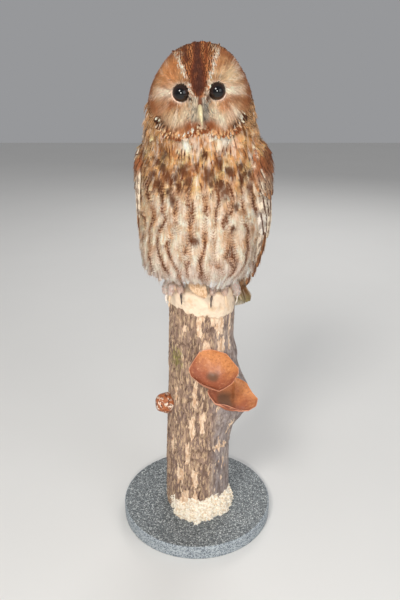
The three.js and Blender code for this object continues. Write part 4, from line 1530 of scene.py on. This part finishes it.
def build_skin():
    shell = Shell([(["head", "neck", "trunk", "eye_left", "eye_right"], None),
                   (["leg_left", "foot_left"], None), (["leg_right", "foot_right"], None),
                   (["wing_left"], 0.44), (["wing_right"], 0.44)], voxel=2.2 * MM, rounds=5)
    places = [shell.points - shell.normals * coat_depth(shell.points)[:, None]]
    faces, tints = [shell.quads], [skin_tint(shell.points)]
    for side, eye in EYES.items():
        ring, quads, tint = eyelid(eye, side)
        faces.append(quads + sum(map(len, places)))
        places.append(ring)
        tints.append(tint)
    tints = np.concatenate(tints)
    look = Look("skin")
    grain = object_place(look.tree).noise(700.0, 3.0)
    color = with_streaks(look.read("tint"), (100, 58, 36))
    color = color.vector("SCALE", {"Scale": grain.ramp(0.3, 0.7, 0.8, 1.1)})
    made = look.done(color, grain, bump=0.3, depth=0.2 * MM, Roughness=0.8, Specular_IOR_Level=0.3)
    smooth_piece("skin", np.concatenate(places), np.concatenate(faces), made, "plumage",
                 "head", "neck", "trunk", "wing_left", "wing_right", "tail",
                 "leg_left", "leg_right", "foot_left", "foot_right",
                 tint=np.concatenate([tints, np.ones((len(tints), 1))], 1))


# ---- eyes, bill and claws ---------------------------------------------------------------------------
def eye_material():
    look = Look("eye_glass")
    near = look.read("from_pupil", "Fac")
    iris = object_place(look.tree).noise(900.0, 2.0).mix((46, 26, 16), (24, 13, 9))
    inside = near.ramp(0.5, 0.56).mix((5, 4, 5), iris)
    color = near.ramp(0.78, 0.9).mix(inside, (8, 6, 6))
    return look.done(color, Roughness=0.04, Coat_Weight=0.3, Coat_Roughness=0.02, Specular_IOR_Level=0.35)


def build_eyes():
    look = eye_material()
    rows, columns = 40, 56
    polar = np.linspace(0, math.pi * 0.72, rows)
    around = circle(columns)[None, :, None]
    cornea = 1 + 0.07 * hump(polar, 0, 0.62)
    from_pupil = np.repeat(np.sin(np.minimum(polar, math.pi / 2)), columns)
    for side, eye in EYES.items():
        gaze = unit(np.array([0.12 * side, -1.0, 0.02]))
        right, up = sideways(gaze)
        ball = np.sin(polar)[:, None, None] * (np.cos(around) * right + np.sin(around) * up)
        ball = ball + np.cos(polar)[:, None, None] * gaze
        places = eye + ball * (EYE_RADIUS * cornea)[:, None, None]
        name = "eye_left" if side > 0 else "eye_right"
        smooth_piece("glass_" + name, places, grid_faces(rows, columns, True)[:, ::-1], look,
                     "eye_glass", name, from_pupil=from_pupil)


def refined(name, part, look, slot, waist=1.0, shift=(0, 0, 0)):
    """A smooth copy of a CAD part takes its place, narrowed across and moved by some millimetres."""
    shape = merged([part])
    centre = sum(point.co.x for point in shape.verts) / len(shape.verts)
    for point in shape.verts:
        point.co.x = centre + (point.co.x - centre) * waist
        point.co += Vector(shift) * MM
    rough = placed(name + "_rough", mesh_of(shape, name))
    finer = rough.modifiers.new("smooth", "SUBSURF")
    finer.levels = 2
    finer.render_levels = 2
    done = evaluated_mesh(rough)
    done.materials.clear()
    done.materials.append(look)
    piece = placed(name, done)
    smooth(piece)
    enter(piece, slot, part)


def build_horn():
    bill = Look("bill_horn")
    streaks = object_place(bill.tree).stretched(900, 900, 160).noise(1.0, 3.0)
    color = streaks.ramp(0.35, 0.7).mix((238, 224, 184), (206, 188, 140))
    look = bill.done(color, streaks, bump=0.15, depth=0.1 * MM, Roughness=0.38, Specular_IOR_Level=0.5)
    for part in ("bill_upper", "bill_lower"):
        refined("horn_" + part, part, look, "bill_horn", waist=0.95, shift=(1.2, 0, 0))
    claw = Look("claw_horn")
    where = object_place(claw.tree)
    tone = where.noise(160.0, 3.0)
    aside = abs(where.split("XYZ")[0] - 3 * MM)
    color = tone.ramp(0.35, 0.65).mix((58, 44, 38), (112, 94, 84))
    color = layered(color, (aside.ramp(24 * MM, 28 * MM), (230, 200, 166)),
                    (aside.ramp(38 * MM, 41 * MM), (238, 228, 216)))
    look = claw.done(color, tone, bump=0.1, depth=0.1 * MM, Roughness=0.4)
    for side in ("left", "right"):
        for number in range(1, 5):
            low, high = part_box(f"claw_{side}_{number}")
            across = (low.x + high.x) / 2 / MM
            shift = (0, 0, 0)
            if abs(across - 7) > 43:  # an outer toe's claw
                shift = (2.0 if across < 0 else -2.5, -2.5, -5.0)
            elif -24 < across < -12 and high.y < 0:  # the claw of the inner right toe
                shift = (0, 0, 4.5)
            refined(f"talon_{side}_{number}", f"claw_{side}_{number}", look, "claw_horn", shift=shift)


# ---- the branch -------------------------------------------------------------------------------------
PEELS = (  # bare strips: degrees from straight ahead, foot and top in mm, half width in mm
    (-3, 304, 340, 2.6), (34, 300, 340, 4.2), (37, 276, 298, 4.6), (58, 277, 345, 1.7),
    (-29, 300, 317, 2.0), (10, 278, 297, 3.2), (21, 316, 340, 2.4), (5, 160, 191, 2.2),
    (-13, 150, 182, 3.0), (-56, 124, 143, 2.6), (-33, 73, 100, 4.0), (-6, 69, 98, 3.2),
    (-5, 38, 62, 2.2), (-24, 38, 60, 4.6), (-20, 105, 138, 1.8), (45, 126, 133, 8.0),
    (48, 92, 99, 1.6), (-46, 200, 222, 1.8), (-8, 200, 236, 2.4))


def from_front(turn):
    """Degrees from straight ahead, growing to the viewer's right, for a turn from +X."""
    return (np.degrees(turn) + 90 + 180) % 360 - 180


def from_burl(turn):
    """Radians round the branch from its stump, to either side."""
    return np.abs((turn - BURL_TURN + math.pi) % math.tau - math.pi)


def lumpy(points, scale, seed):
    """Lattice noise about nothing, of -0.5 to 0.5."""
    return lattice_noise(points, scale, seed) - 0.5


def upright(axis_x, radius, turns, heights):
    """Places round an upright axis."""
    return np.stack(np.broadcast_arrays(
        axis_x + np.cos(turns) * radius, np.sin(turns) * radius, heights), -1)


def column_radius(turns, heights):
    """The branch's radius round its own axis, smoothed from the CAD, and where the axis is in X."""
    tree = solid_tree("branch")
    low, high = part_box("branch")
    axis_x = (0.5 + 6.0 * (heights - low.z) / (high.z - low.z)) * MM
    radius = np.full((len(heights), len(turns)), 0.045)
    for i in range(0, len(heights), 3):
        for j in range(0, len(turns), 3):
            way = (math.cos(turns[j]), math.sin(turns[j]), 0)
            hit = struck(tree, (axis_x[i], 0, heights[i]), way, 0.15)
            if hit is not None:
                radius[i:i + 3, j:j + 3] = math.hypot(hit.x - axis_x[i], hit.y)
    for _ in range(14):
        radius = (np.roll(radius, 1, 1) + np.roll(radius, -1, 1)) / 4 + radius / 2
        radius[1:-1] = (radius[:-2] + radius[2:]) / 4 + radius[1:-1] / 2
    t, z = np.meshgrid(turns, heights)
    waist = smoothstep(z, 0.16, 0.24) * (1 - smoothstep(z, 0.325, 0.345))
    radius -= 2.0 * MM * np.clip(-np.cos(t), 0, 1) * waist
    radius += 4.5 * MM * hump(z, 0.264, 0.015) * hump(from_burl(t), 0, 0.6)
    return radius, axis_x


def peeled(t, z, ground, bent, warp):
    """Where the bark has come off, above about 0.5, in specks and in ragged upright strips."""
    ragged = lumpy(ground, np.array([1.8, 1.8, 6]) * MM, 6)
    torn_side = lumpy(ground, np.array([3.0, 3.0, 5.0]) * MM, 10)
    torn_end = lumpy(ground, np.array([1.6, 1.6, 9.0]) * MM, 11)
    peel = lattice_noise(bent, np.array([3.6, 3.6, 15]) * MM, 9) - 0.36
    for degrees, foot, top, half in PEELS:
        away = (from_front(t) - degrees + 180) % 360 - 180
        aside = half - np.abs(np.radians(away)) * 34 + 0.25 * warp / MM + 2.4 * torn_side
        along = (top - foot) / 2 - np.abs(z / MM - (top + foot) / 2) + 14 * torn_end
        peel = np.maximum(peel, 0.5 + 0.22 * np.minimum(aside, along * 0.5) + 0.5 * ragged)
    return np.clip(peel, 0, 1)


def bark_material():
    look = Look("bark")
    where = object_place(look.tree)
    crack, peel, moss = look.read("bark").split("Color")
    even = look.read("bark", "Alpha")
    cloud = where.stretched(55, 55, 20).noise(1.0, 4.0, 0.6)
    fleck = where.stretched(330, 330, 95).noise(1.0, 4.0, 0.6)
    slit = where.stretched(600, 600, 95).noise(1.0, 3.0, 0.6)
    fine = where.stretched(1100, 1100, 500).noise(1.0, 3.0, 0.6)
    even_fleck = where.stretched(210, 210, 110).noise(1.0, 4.0, 0.6, 0.6)
    rough = layered(
        cloud.ramp(0.35, 0.65).mix((182, 152, 130), (144, 120, 108)),
        (fleck.ramp(0.48, 0.58, 0, 0.85), (216, 184, 150)), (fleck.ramp(0.62, 0.7), (238, 214, 192)),
        (slit.ramp(0.43, 0.37, 0, 0.9), (78, 58, 46)))
    grey = layered(
        cloud.ramp(0.3, 0.7).mix((176, 164, 160), (146, 136, 136)),
        (even_fleck.ramp(0.55, 0.68, 0, 0.7), (206, 192, 178)),
        (even_fleck.ramp(0.45, 0.33, 0, 0.7), (108, 94, 88)))
    bare = (peel + (slit - 0.5) * 0.7).ramp(0.46, 0.54)
    wood = fleck.ramp(0.4, 0.6).mix((214, 176, 142), (246, 220, 192))
    green = fleck.ramp(0.4, 0.6).mix((112, 106, 52), (160, 150, 92))
    tufted = moss + (fleck - 0.5) * 1.4
    color = layered(
        rough, (even * 0.9, grey), (crack * 0.6, (90, 68, 56)), (bare * 0.95, wood),
        (fine.ramp(0.55, 0.75, 0, 0.4), (118, 92, 74)), (tufted.ramp(0.12, 0.6, 0, 0.8), green))
    return look.done(color, slit * 1.2 + fine * 0.4, bump=0.7, depth=0.9 * MM, Roughness=0.85,
                     Specular_IOR_Level=0.25)


def build_branch():
    low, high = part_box("branch")
    columns = 280
    heights = np.linspace(low.z + 0.1 * MM, high.z - 0.1 * MM, 330)
    turns = circle(columns)
    radius, axis_x = column_radius(turns, heights)
    t, z = np.meshgrid(turns, heights)
    ground = np.stack([np.cos(t) * 0.035, np.sin(t) * 0.035, z], -1)
    smoother = (1 - smoothstep(from_burl(t), 0.7, 1.15)) * (1 - smoothstep(z, 0.25, 0.33) * 0.5)
    warp = lumpy(ground, 14 * MM, 1) * 4 * MM
    bent = ground + np.stack([warp, -warp, warp * 3], -1)
    plates = np.abs(2 * lattice_noise(bent, np.array([3.2, 3.2, 20]) * MM, 2) - 1)
    ribs = np.abs(2 * lattice_noise(bent, np.array([1.9, 1.9, 10]) * MM, 3) - 1)
    fine = lattice_noise(ground, np.array([1.5, 1.5, 3.5]) * MM, 4)
    crack = 1 - smoothstep(plates, 0.02, 0.3)
    small = 1 - smoothstep(ribs, 0.0, 0.3)
    peel = peeled(t, z, ground, bent, warp)
    bare = smoothstep(peel, 0.45, 0.6)
    height = (0.9 - 1.7 * crack - 0.9 * small + 0.9 * fine) * MM
    height = height * (1 - 0.75 * smoother) - 0.8 * MM * bare * (1 - 0.5 * smoother)
    ahead = from_front(t)
    scar = 128.5 - 0.0016 * (ahead - 30) ** 2 - z / MM  # a scar curves over the front, low down
    lip = hump(scar, -2.2, 2.2) - 0.8 * hump(scar, 2.0, 1.8)
    height += 1.3 * MM * lip * smoothstep(ahead, 8, 24) * (1 - smoothstep(ahead, 80, 96))
    edge = smoothstep(z, low.z, low.z + 4 * MM) * (1 - smoothstep(z, high.z - 4 * MM, high.z))
    places = upright(axis_x[:, None], radius + height * (0.3 + 0.7 * edge) - 0.6 * MM, t, z)
    ends = []
    for row, shares in ((0, (1e-4, 0.7)), (-1, (0.7, 1e-4))):
        core = np.array([axis_x[row], 0, heights[row]])
        ends.append([core + (places[row] - core) * share for share in shares])
    places = np.concatenate([ends[0], places, ends[1]])
    moss = hump(np.linalg.norm((ground - MOSS) / np.array([10, 14, 16]) / MM, axis=-1), 0, 1)
    moss = moss * (0.35 + 1.1 * lattice_noise(ground, 3 * MM, 8))
    marks = np.stack([np.clip(crack * 0.8 + small * 0.4, 0, 1), peel, moss, smoother], -1)
    smooth_piece("bark_column", places, grid_faces(len(places), columns, True), bark_material(), "bark",
                 "branch", bark=np.pad(marks, ((2, 2), (0, 0), (0, 0)), "edge"))


# ---- the fungi --------------------------------------------------------------------------------------
CUPS = {  # mouth, the way it faces, depth, where its floor leans to, how the middle widens, stalk's end, rim
    "fungus_upper": ((21.5, -67, 267), (-0.08, -0.66, 0.75), 15, (-2.5, -3.5), 1.0, (19, -34, 252),
                     ((-31.6, 1.7), (-17.6, 27.1), (-4.3, 28.8), (16.9, 21.6), (31.5, 1.9),
                      (31.3, -5.5), (23.0, -17.8), (6.2, -27.5), (-13.6, -18.8), (-28.5, -6.9))),
    "fungus_lower": ((48, -62, 229), (0.22, -0.42, 0.88), 13, (-9.0, -2.0), 1.5, (38, -28, 206),
                     ((-34.7, 0.1), (-31.6, -6.7), (-24.5, -16.5), (-10.1, -18.0), (8.6, -21.2),
                      (19, -21), (28.9, -13.6), (32.4, -1.0), (26, 7.9), (18.1, 20.4), (7.5, 26.4),
                      (-10, 27), (-27, 17)))}
BUTTON = np.array([-42.8, -18, 190.5]) * MM
BUTTON_RADIUS = 14.2 * MM


def rim_reach(corners, turn):
    """How far a cup's rim is from its mouth's middle, running straight between corners."""
    ring = np.array(corners + corners[:1], float)
    along = np.linspace(0, len(corners), 40 * len(corners), endpoint=False)
    corner = along.astype(int)
    part = (along - corner)[:, None]
    walk = ring[corner] * (1 - part) + ring[corner + 1] * part
    bearing = np.arctan2(walk[:, 1], walk[:, 0]) % math.tau
    order = np.argsort(bearing)
    far = np.hypot(walk[:, 0], walk[:, 1])[order]
    for _ in range(8):
        far = (np.roll(far, 1) + np.roll(far, -1) + 2 * far) / 4
    return np.interp(turn, bearing[order], far, period=math.tau)


def fungus_material():
    """Colours from the bowl marks: the share out from the middle, outside, mottled skin, and painted light
    that makes the inside lighter and more orange towards the upper right and darker towards the bottom.
    """
    look = Look("dried_fungus")
    where = object_place(look.tree)
    share, outside, mottle = look.read("bowl").split("Color")
    # painted light: the inside lighter and more orange towards the upper right, darker towards the bottom
    warm_tone_and_painted_light = look.read("bowl", "Alpha")
    cloud = where.noise(60.0, 3.0, 0.5)
    fibre = where.noise(330.0, 4.0, 0.6)
    spots = where.noise(170.0, 3.0, 0.6, 0.6)
    lit = warm_tone_and_painted_light + (cloud - 0.5) * 0.9
    shaded = share + (cloud - 0.5) * 0.3
    flesh = fibre.mix((140, 72, 46), (186, 112, 76))
    under = share.ramp(0.7, 0.85).mix(flesh, (228, 150, 116))
    skin = spots.ramp(0.52, 0.6).mix((176, 102, 60), (250, 228, 206))
    color = layered(
        lit.ramp(0.0, 0.4).mix((134, 72, 50), (168, 100, 74)), (lit.ramp(0.35, 0.85), (212, 140, 84)),
        (fibre.ramp(0.5, 0.68, 0, 0.5), (138, 72, 46)), (fibre.ramp(0.45, 0.3, 0, 0.45), (238, 182, 134)),
        (shaded.ramp(0.6, 0.25, 0, 0.5), (164, 92, 60)), (shaded.ramp(0.27, 0.06, 0, 0.8), (104, 80, 60)),
        (share.ramp(0.9, 0.94, 0, 0.9), (236, 166, 132)), (outside, under),
        (mottle, layered(skin, (fibre.ramp(0.5, 0.62), (98, 54, 38)))))
    return look.done(color, fibre + cloud * 0.6, bump=0.4, depth=0.5 * MM, Roughness=0.5, Coat_Weight=0.14,
                     Coat_Roughness=0.28, Specular_IOR_Level=0.4)


def build_cup(name, seed, look):
    mouth, faces, depth, lean, widen, stalk, corners = CUPS[name]
    up = unit(np.array(faces, float))
    across = unit(np.array([1.0, 0, 0]) - up * up[0])
    along = np.cross(up, across)
    around, rows = 144, 84
    u, v = np.meshgrid(circle(around), np.linspace(0, 1, rows))
    inner = v < 0.5
    q = np.where(inner, 2 * v, 2 * (1 - v))  # 0 in the middle of the inside and outside, 1 at the rim
    r = (26.0 + (rim_reach(corners, u) - 26.0) * q**1.5) * np.sin(q * math.pi / 2)
    floor = -depth * np.cos(q * math.pi / 2) ** 1.3 + 1.2 * np.cos(4 * u + seed) * q**3
    wall = np.where(inner, 0, 2.6 * (1 - 0.35 * q**4))
    slip = 1 - q * q * (3 - 2 * q)
    x, y = r * np.cos(u) + lean[0] * slip, r * np.sin(u) + lean[1] * slip
    place = np.stack([x, y, floor - wall], -1)
    place[..., 2] += 1.2 * hump(x, 4, 2.5) * (1 - q**3) * (seed - 1) * 2
    ripple = lumpy(place + 50, 6.0, seed)
    fold = np.cos(9 * u + 2 * np.sin(3 * u + seed)) * 0.3 * q**2
    place[..., 2] += ripple * 1.2 * (1 - q**6) + fold * np.where(inner, 1, 0.4)
    bowl = np.array(mouth) + place[..., :1] * across + place[..., 1:2] * along + place[..., 2:] * up
    # painted light: the inside lighter and more orange towards the upper right, darker towards the bottom
    warm_tone_and_painted_light = 0.5 + 0.5 * np.cos(u - math.radians(65)) * smoothstep(q, 0.0, 0.5)
    marks = np.stack([q**widen, v > 0.53, np.zeros_like(q), warm_tone_and_painted_light], -1)
    start = np.array(mouth) - up * (depth + 4.5) + across * lean[0] + along * lean[1]
    end = np.array(stalk, float)
    t = np.linspace(0, 1, 14)[:, None, None]
    turn = circle(36)[None, :, None]
    way = unit(end - start)
    one = unit(np.cross(way, [1.0, 0, 0.1]))
    thick = 8.6 - 4.6 * (1 - t) ** 2 + 0.4 * np.cos(5 * turn + seed)
    tube = start + (end - start) * t + (one * np.cos(turn) + np.cross(way, one) * np.sin(turn)) * thick
    quads = [grid_faces(rows, around, True)[:, ::-1], grid_faces(14, 36, True) + rows * around]
    places = np.concatenate([bowl.reshape(-1, 3), tube.reshape(-1, 3)]) * MM
    bare = np.tile([0.7, 1.0, 0.0, 0.5], (14 * 36, 1))
    smooth_piece("cup_" + name, places, np.concatenate(quads), look, "dried_fungus", name,
                 bowl=np.concatenate([marks.reshape(-1, 4), bare]))


def build_fungi():
    look = fungus_material()
    for seed, name in enumerate(CUPS, 1):
        build_cup(name, seed, look)
    rows, columns = 48, 72
    polar, turn = np.meshgrid(np.linspace(0, math.pi, rows), circle(columns), indexing="ij")
    way = np.stack([np.sin(polar) * np.cos(turn), np.cos(polar), np.sin(polar) * np.sin(turn)], -1)
    lumps = 1 + 0.05 * np.cos(5 * turn) * np.sin(polar) + 0.14 * lumpy(way, 0.4, 5)
    places = BUTTON + way * np.array([1, 0.92, 1]) * (BUTTON_RADIUS * lumps)[..., None]
    smooth_piece("button_fungus", places, grid_faces(rows, columns, True), look, "dried_fungus",
                 "fungus_small", bowl=np.tile([0.7, 0.0, 1.0, 0.5], (rows * columns, 1)))


# ---- the wood chips ---------------------------------------------------------------------------------
CAP_EDGE = (  # the cap's ragged lower edge: degrees from straight ahead, height in mm
    (-180, 342), (-120, 344), (-88, 338), (-62, 337), (-49, 337), (-37, 336), (-27, 334),
    (-17, 332.5), (-3, 329), (10, 328), (20, 326), (31, 323), (43, 325), (60, 325), (74, 325),
    (88, 328), (110, 338), (140, 342), (180, 342))
HEAP = (  # the heap: degrees from straight ahead, how far out it reaches and how high it climbs in mm
    (-180, 41, 6), (-120, 39, 5), (-98, 38, 10), (-88, 39, 20), (-72, 41, 30), (-64, 43, 29),
    (-49, 47, 26), (-37, 54, 24), (-26, 57, 23), (-14, 61, 28), (-3, 61, 27), (7, 57, 26),
    (17, 58, 31), (28, 54, 32), (38, 54, 31), (53, 57, 25), (69, 54, 23), (85, 51, 25),
    (104, 45, 17), (140, 40, 7), (180, 41, 6))


def chips_material():
    look = Look("wood_chips")
    where = object_place(look.tree)
    tone = where.noise(300.0, 3.0, 0.6)
    fine = where.noise(900.0, 2.0, 0.5)
    color = tone.ramp(0.35, 0.55).mix((228, 206, 178), (252, 244, 228))
    color = layered(color, (fine.ramp(0.62, 0.78, 0, 0.5), (196, 168, 134)))
    return look.done(color, fine, bump=0.4, depth=0.3 * MM, Roughness=0.9, Specular_IOR_Level=0.2,
                     Subsurface_Weight=0.15, Subsurface_Scale=1.0 * MM, Subsurface_Radius=(1.0, 0.8, 0.6))


def chip_scatter():
    """A tree of geometry nodes that strews small turned chips over a surface."""
    tree = bpy.data.node_groups.new("strewn_chips", "GeometryNodeTree")
    sockets = (("Geometry", "Geometry"), ("Chips per area", "Float"), ("Smallest", "Vector"),
               ("Largest", "Vector"), ("Seed", "Int"), ("Finish", "Material"))
    for key, kind in sockets:
        tree.interface.new_socket(key, in_out="INPUT", socket_type="NodeSocket" + kind)
    tree.interface.new_socket("Geometry", in_out="OUTPUT", socket_type="NodeSocketGeometry")
    given, result, strew, chip, place, turn, size, real, paint = map(tree.nodes.new, (
        "NodeGroupInput", "NodeGroupOutput", "GeometryNodeDistributePointsOnFaces",
        "GeometryNodeMeshIcoSphere", "GeometryNodeInstanceOnPoints", "FunctionNodeRandomValue",
        "FunctionNodeRandomValue", "GeometryNodeRealizeInstances", "GeometryNodeSetMaterial"))
    chip.inputs["Subdivisions"].default_value = 1
    chip.inputs["Radius"].default_value = 1.0
    turn.data_type = size.data_type = "FLOAT_VECTOR"
    turn.inputs[1].default_value = (math.tau, math.tau, math.tau)
    links = (
        (given, "Geometry", strew, "Mesh"), (given, "Chips per area", strew, "Density"),
        (given, "Seed", strew, "Seed"), (strew, "Points", place, "Points"),
        (chip, "Mesh", place, "Instance"), (turn, 0, place, "Rotation"), (given, "Smallest", size, 0),
        (given, "Largest", size, 1), (size, 0, place, "Scale"), (place, "Instances", real, "Geometry"),
        (real, "Geometry", paint, "Geometry"), (given, "Finish", paint, "Material"),
        (paint, "Geometry", result, "Geometry"))
    for source, output, target, key in links:
        tree.links.new(source.outputs[output], target.inputs[key])
    return tree


def cap_material():
    look = Look("cap_dust")
    where = object_place(look.tree)
    tone = where.noise(90.0, 4.0, 0.6)
    fine = where.noise(600.0, 3.0, 0.6)
    color = tone.ramp(0.32, 0.5).mix((226, 196, 162), (240, 218, 192))
    color = layered(color, (fine.ramp(0.6, 0.74, 0, 0.4), (206, 172, 134)))
    return look.done(color, tone + fine * 0.6, bump=0.6, depth=1.0 * MM, Roughness=0.85,
                     Specular_IOR_Level=0.25)


def build_cap():
    """The pale glue and wood dust spread thinly over the top of the branch."""
    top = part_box("chips_top")[1].z - 1.0 * MM
    bevel = 6.0 * MM
    columns, side_rows, bevel_rows = 250, 34, 9
    turns = circle(columns)
    degrees = from_front(turns)
    ring = upright(0, 0.035, turns, 0.0)
    ragged = lumpy(ring, 3.2 * MM, 12) * 4.5 + lumpy(ring, 1.4 * MM, 13) * 2.5
    foot = (table_at(CAP_EDGE, degrees) + ragged) * MM
    heights = np.linspace(0.30, PERCH_TOP, 60)
    radius, axis_x = column_radius(turns, heights)
    spare = 1.5 - 2.0 * hump(degrees, 85, 38)  # the dust lies thinnest on the bird's left
    rim = radius[-4] + spare * MM
    rows = []
    for share in np.linspace(0, 1, side_rows):
        z = foot + (top - bevel - foot) * share
        at = np.array([np.interp(z[j], heights, radius[:, j]) for j in range(columns)])
        rows.append((at + ((1.2 + spare) * smoothstep(share, 0, 0.09) - 1.2) * MM, z))
    for turn in np.linspace(0.15, math.pi / 2, bevel_rows):
        rows.append((rim - bevel * (1 - math.cos(turn)), top - bevel * (1 - math.sin(turn))))
    for share in np.linspace(0.95, 1e-4, 22):
        rows.append(((rim - bevel) * share, top + 9.0 * MM * (1 - share**2)))
    r = np.array([row[0] for row in rows])
    z = np.array([row[1] + np.zeros(columns) for row in rows])
    place = upright(axis_x[-1], r, turns, z)
    out = np.tile(upright(0, 1.0, turns, 0.0), (len(rows), 1, 1))
    out[side_rows + bevel_rows:] = (0, 0, 1.0)
    lumps = (lumpy(place, 7 * MM, 21) * 2.0 + lumpy(place, 2.2 * MM, 22) * 0.8) * (0.4 + 0.4 * spare)
    lumps[:2] = 0
    lumps[-3:] *= 0.3
    place += out * lumps[..., None] * MM
    smooth_piece("cap_dust", place, grid_faces(len(rows), columns, True), cap_material(), "wood_chips",
                 "chips_top")


def build_shaving():
    """A curled shaving that hangs over the cap's front edge."""
    look = Look("wood_shaving")
    lines = object_place(look.tree).stretched(500, 160, 300).noise(1.0, 3.0, 0.6)
    color = lines.ramp(0.35, 0.6).mix((200, 158, 116), (230, 200, 166))
    along, across = np.meshgrid(np.linspace(0, 1, 28), np.linspace(-1, 1, 15), indexing="ij")
    wide = 9.0 * np.sin(math.pi * (0.1 + 0.86 * along)) ** 0.8
    curl = 3.0 * across**2 - 1.5 * np.sin(2.5 * math.pi * along) * across
    x = -9 + 21 * along + 0.8 * wide * across
    y = -33 - 19 * along - curl + 0.1 * wide * across
    z = 378 - 19 * along**1.2 + 0.6 * wide * across + 0.4 * curl
    upper = np.stack([x, y, z], -1) * MM
    lower = upper + np.array([0, 0.5, -0.3]) * MM
    quads = grid_faces(28, 15)
    smooth_piece("wood_shaving", np.concatenate([upper, lower]),
                 np.concatenate([quads[:, ::-1], quads + 28 * 15]),
                 look.done(color, lines, bump=0.5, depth=0.4 * MM, Roughness=0.7), "wood_chips", "chips_top")


def build_chips():
    """The heap of pale crumbs round the branch's foot, widest in front."""
    look = chips_material()
    columns, rows = 240, 30
    turns = circle(columns)
    degrees = from_front(turns)
    ring = upright(0, 0.045, turns, 0.0)
    ragged = lumpy(ring, 5 * MM, 14) + 0.8 * lumpy(ring, 2 * MM, 15)
    reach = (table_at(HEAP, degrees, 1) - 1.5 + 6.5 * ragged) * MM
    climb = (table_at(HEAP, degrees, 2) - 1.0) * (1 + 0.35 * np.roll(ragged, 40)) * MM
    radius, axis_x = column_radius(turns, np.linspace(SLAB_TOP + 2 * MM, SLAB_TOP + 60 * MM, 20))
    inner = radius[3] - 2.2 * MM
    bend = np.linspace(0, math.pi / 2, rows)[:, None]
    r = inner + (reach - inner) * np.sin(bend) ** 1.1
    z = SLAB_TOP + climb * np.cos(bend) ** 1.25
    under = np.full(columns, SLAB_TOP - 0.3 * MM)
    place = upright(axis_x[0], np.concatenate([r, [reach - 1.5 * MM], [inner]]), turns,
                    np.concatenate([z, [under], [under]]))
    lumps = lumpy(place, 4 * MM, 23) * 3.0 + lumpy(place, 1.8 * MM, 24) * 1.6
    lumps = lumps * np.concatenate([np.sin(2 * bend) ** 0.5, [[0.0]], [[0.0]]])
    place += upright(0, 1.0, turns, 1.0) * 0.7 * lumps[..., None] * MM
    quads = grid_faces(rows + 3, columns, True) % ((rows + 2) * columns)
    bed = make_piece("chips_heap", place, quads[:, ::-1], look)
    smooth(bed)
    work = placed("strewing", bed.data.copy())
    strewn = work.modifiers.new("chips", "NODES")
    strewn.node_group = chip_scatter()
    settings = {"Chips per area": 170000.0, "Smallest": [0.7 * MM, 0.9 * MM, 1.3 * MM],
                "Largest": [1.9 * MM, 2.4 * MM, 3.8 * MM], "Seed": 4, "Finish": look}
    for item in strewn.node_group.interface.items_tree:
        if item.name in settings:
            strewn[item.identifier] = settings[item.name]
    crumbs = placed("chips_crumbs", evaluated_mesh(work))
    for piece in (bed, crumbs):
        enter(piece, "wood_chips", "chips_foot")


# ---- the slab and the floor -------------------------------------------------------------------------
def granite_material():
    look = Look("granite")
    where = object_place(look.tree)
    cells = node(look.tree, "TexVoronoi", {"Vector": where, "Scale": 780.0}).outputs["Color"]
    grain = Field(look.tree, cells).split("Color")
    tone = grain[0] * 0.6 + where.noise(500.0, 3.0) * 0.4
    sawn = look.read("sawn", "Fac")
    pale = tone.ramp(0.25, 0.7).mix((112, 121, 130), (190, 198, 203))
    color = layered(tone.ramp(0.25, 0.7).mix((76, 80, 83), (132, 138, 140)),
                    (grain[1].ramp(0.84, 0.9, 0, 0.85), (206, 210, 208)), (sawn * 0.8, pale))
    return look.done(color, tone, bump=0.12, depth=0.15 * MM, Specular_IOR_Level=0.3,
                     Roughness=sawn.ramp(0.0, 1.0, 0.5, 0.75))


def build_slab():
    radius, top, bevel = SLAB_RADIUS, SLAB_TOP, 2.5 * MM
    profile = [(0.0, 0.0), (radius * 0.5, 0.0), (radius - 1.2 * MM, 0.0), (radius - 0.2 * MM, 1.0 * MM)]
    profile += [(radius, z) for z in np.linspace(2 * MM, top - bevel, 12)]
    for turn in np.linspace(0.25, math.pi / 2, 7):
        profile.append((radius - bevel * (1 - math.cos(turn)), top - bevel * (1 - math.sin(turn))))
    profile += [(share * radius, top) for share in np.linspace(0.95, 0.0, 12)]
    columns = 180
    r, z = (column[:, None] for column in np.array(profile).T)
    place = upright(0, np.maximum(r, 1e-6), circle(columns), z)
    side = np.repeat((z > 0.5 * MM) & (z < top - 0.2 * MM), columns, 1)
    wear = lumpy(place, 3 * MM, 31) * 0.5 * MM * side
    place[..., :2] *= (1 - np.abs(wear) / radius)[..., None]
    smooth_piece("granite_slab", place, grid_faces(len(profile), columns, True), granite_material(),
                 "granite", "granite_base", sawn=side.ravel())


def build_floor():
    look = Look("floor")
    cloud = object_place(look.tree).noise(3.0, 3.0)
    made = look.done(cloud.mix((226, 225, 222), (232, 231, 228)), Roughness=0.85)
    size = 4.0
    corners = np.array([(-size, -size, 0), (size, -size, 0), (size, size, 0), (-size, size, 0)])
    piece = make_piece("floor", corners, np.array([[0, 1, 2, 3]]), made)


# ---- everything together ----------------------------------------------------------------------------
def build_all():
    place_camera()
    light_the_room()
    build_floor()
    build_slab()
    build_branch()
    build_fungi()
    build_cap()
    build_shaving()
    build_chips()
    look = feather_material("feathers")
    shell = Shell([(["head", "neck", "trunk", "eye_left", "eye_right"], None),
                   (["wing_left"], None), (["wing_right"], None)], voxel=2.2 * MM, rounds=4)
    build_head(shell, look)
    build_body(shell, feather_material("streaked_feathers", streaked=True))
    for side in (-1, 1):
        build_wing(side, look)
    build_tail(look)
    build_legs(look)
    build_skin()
    build_eyes()
    build_horn()


build_all()
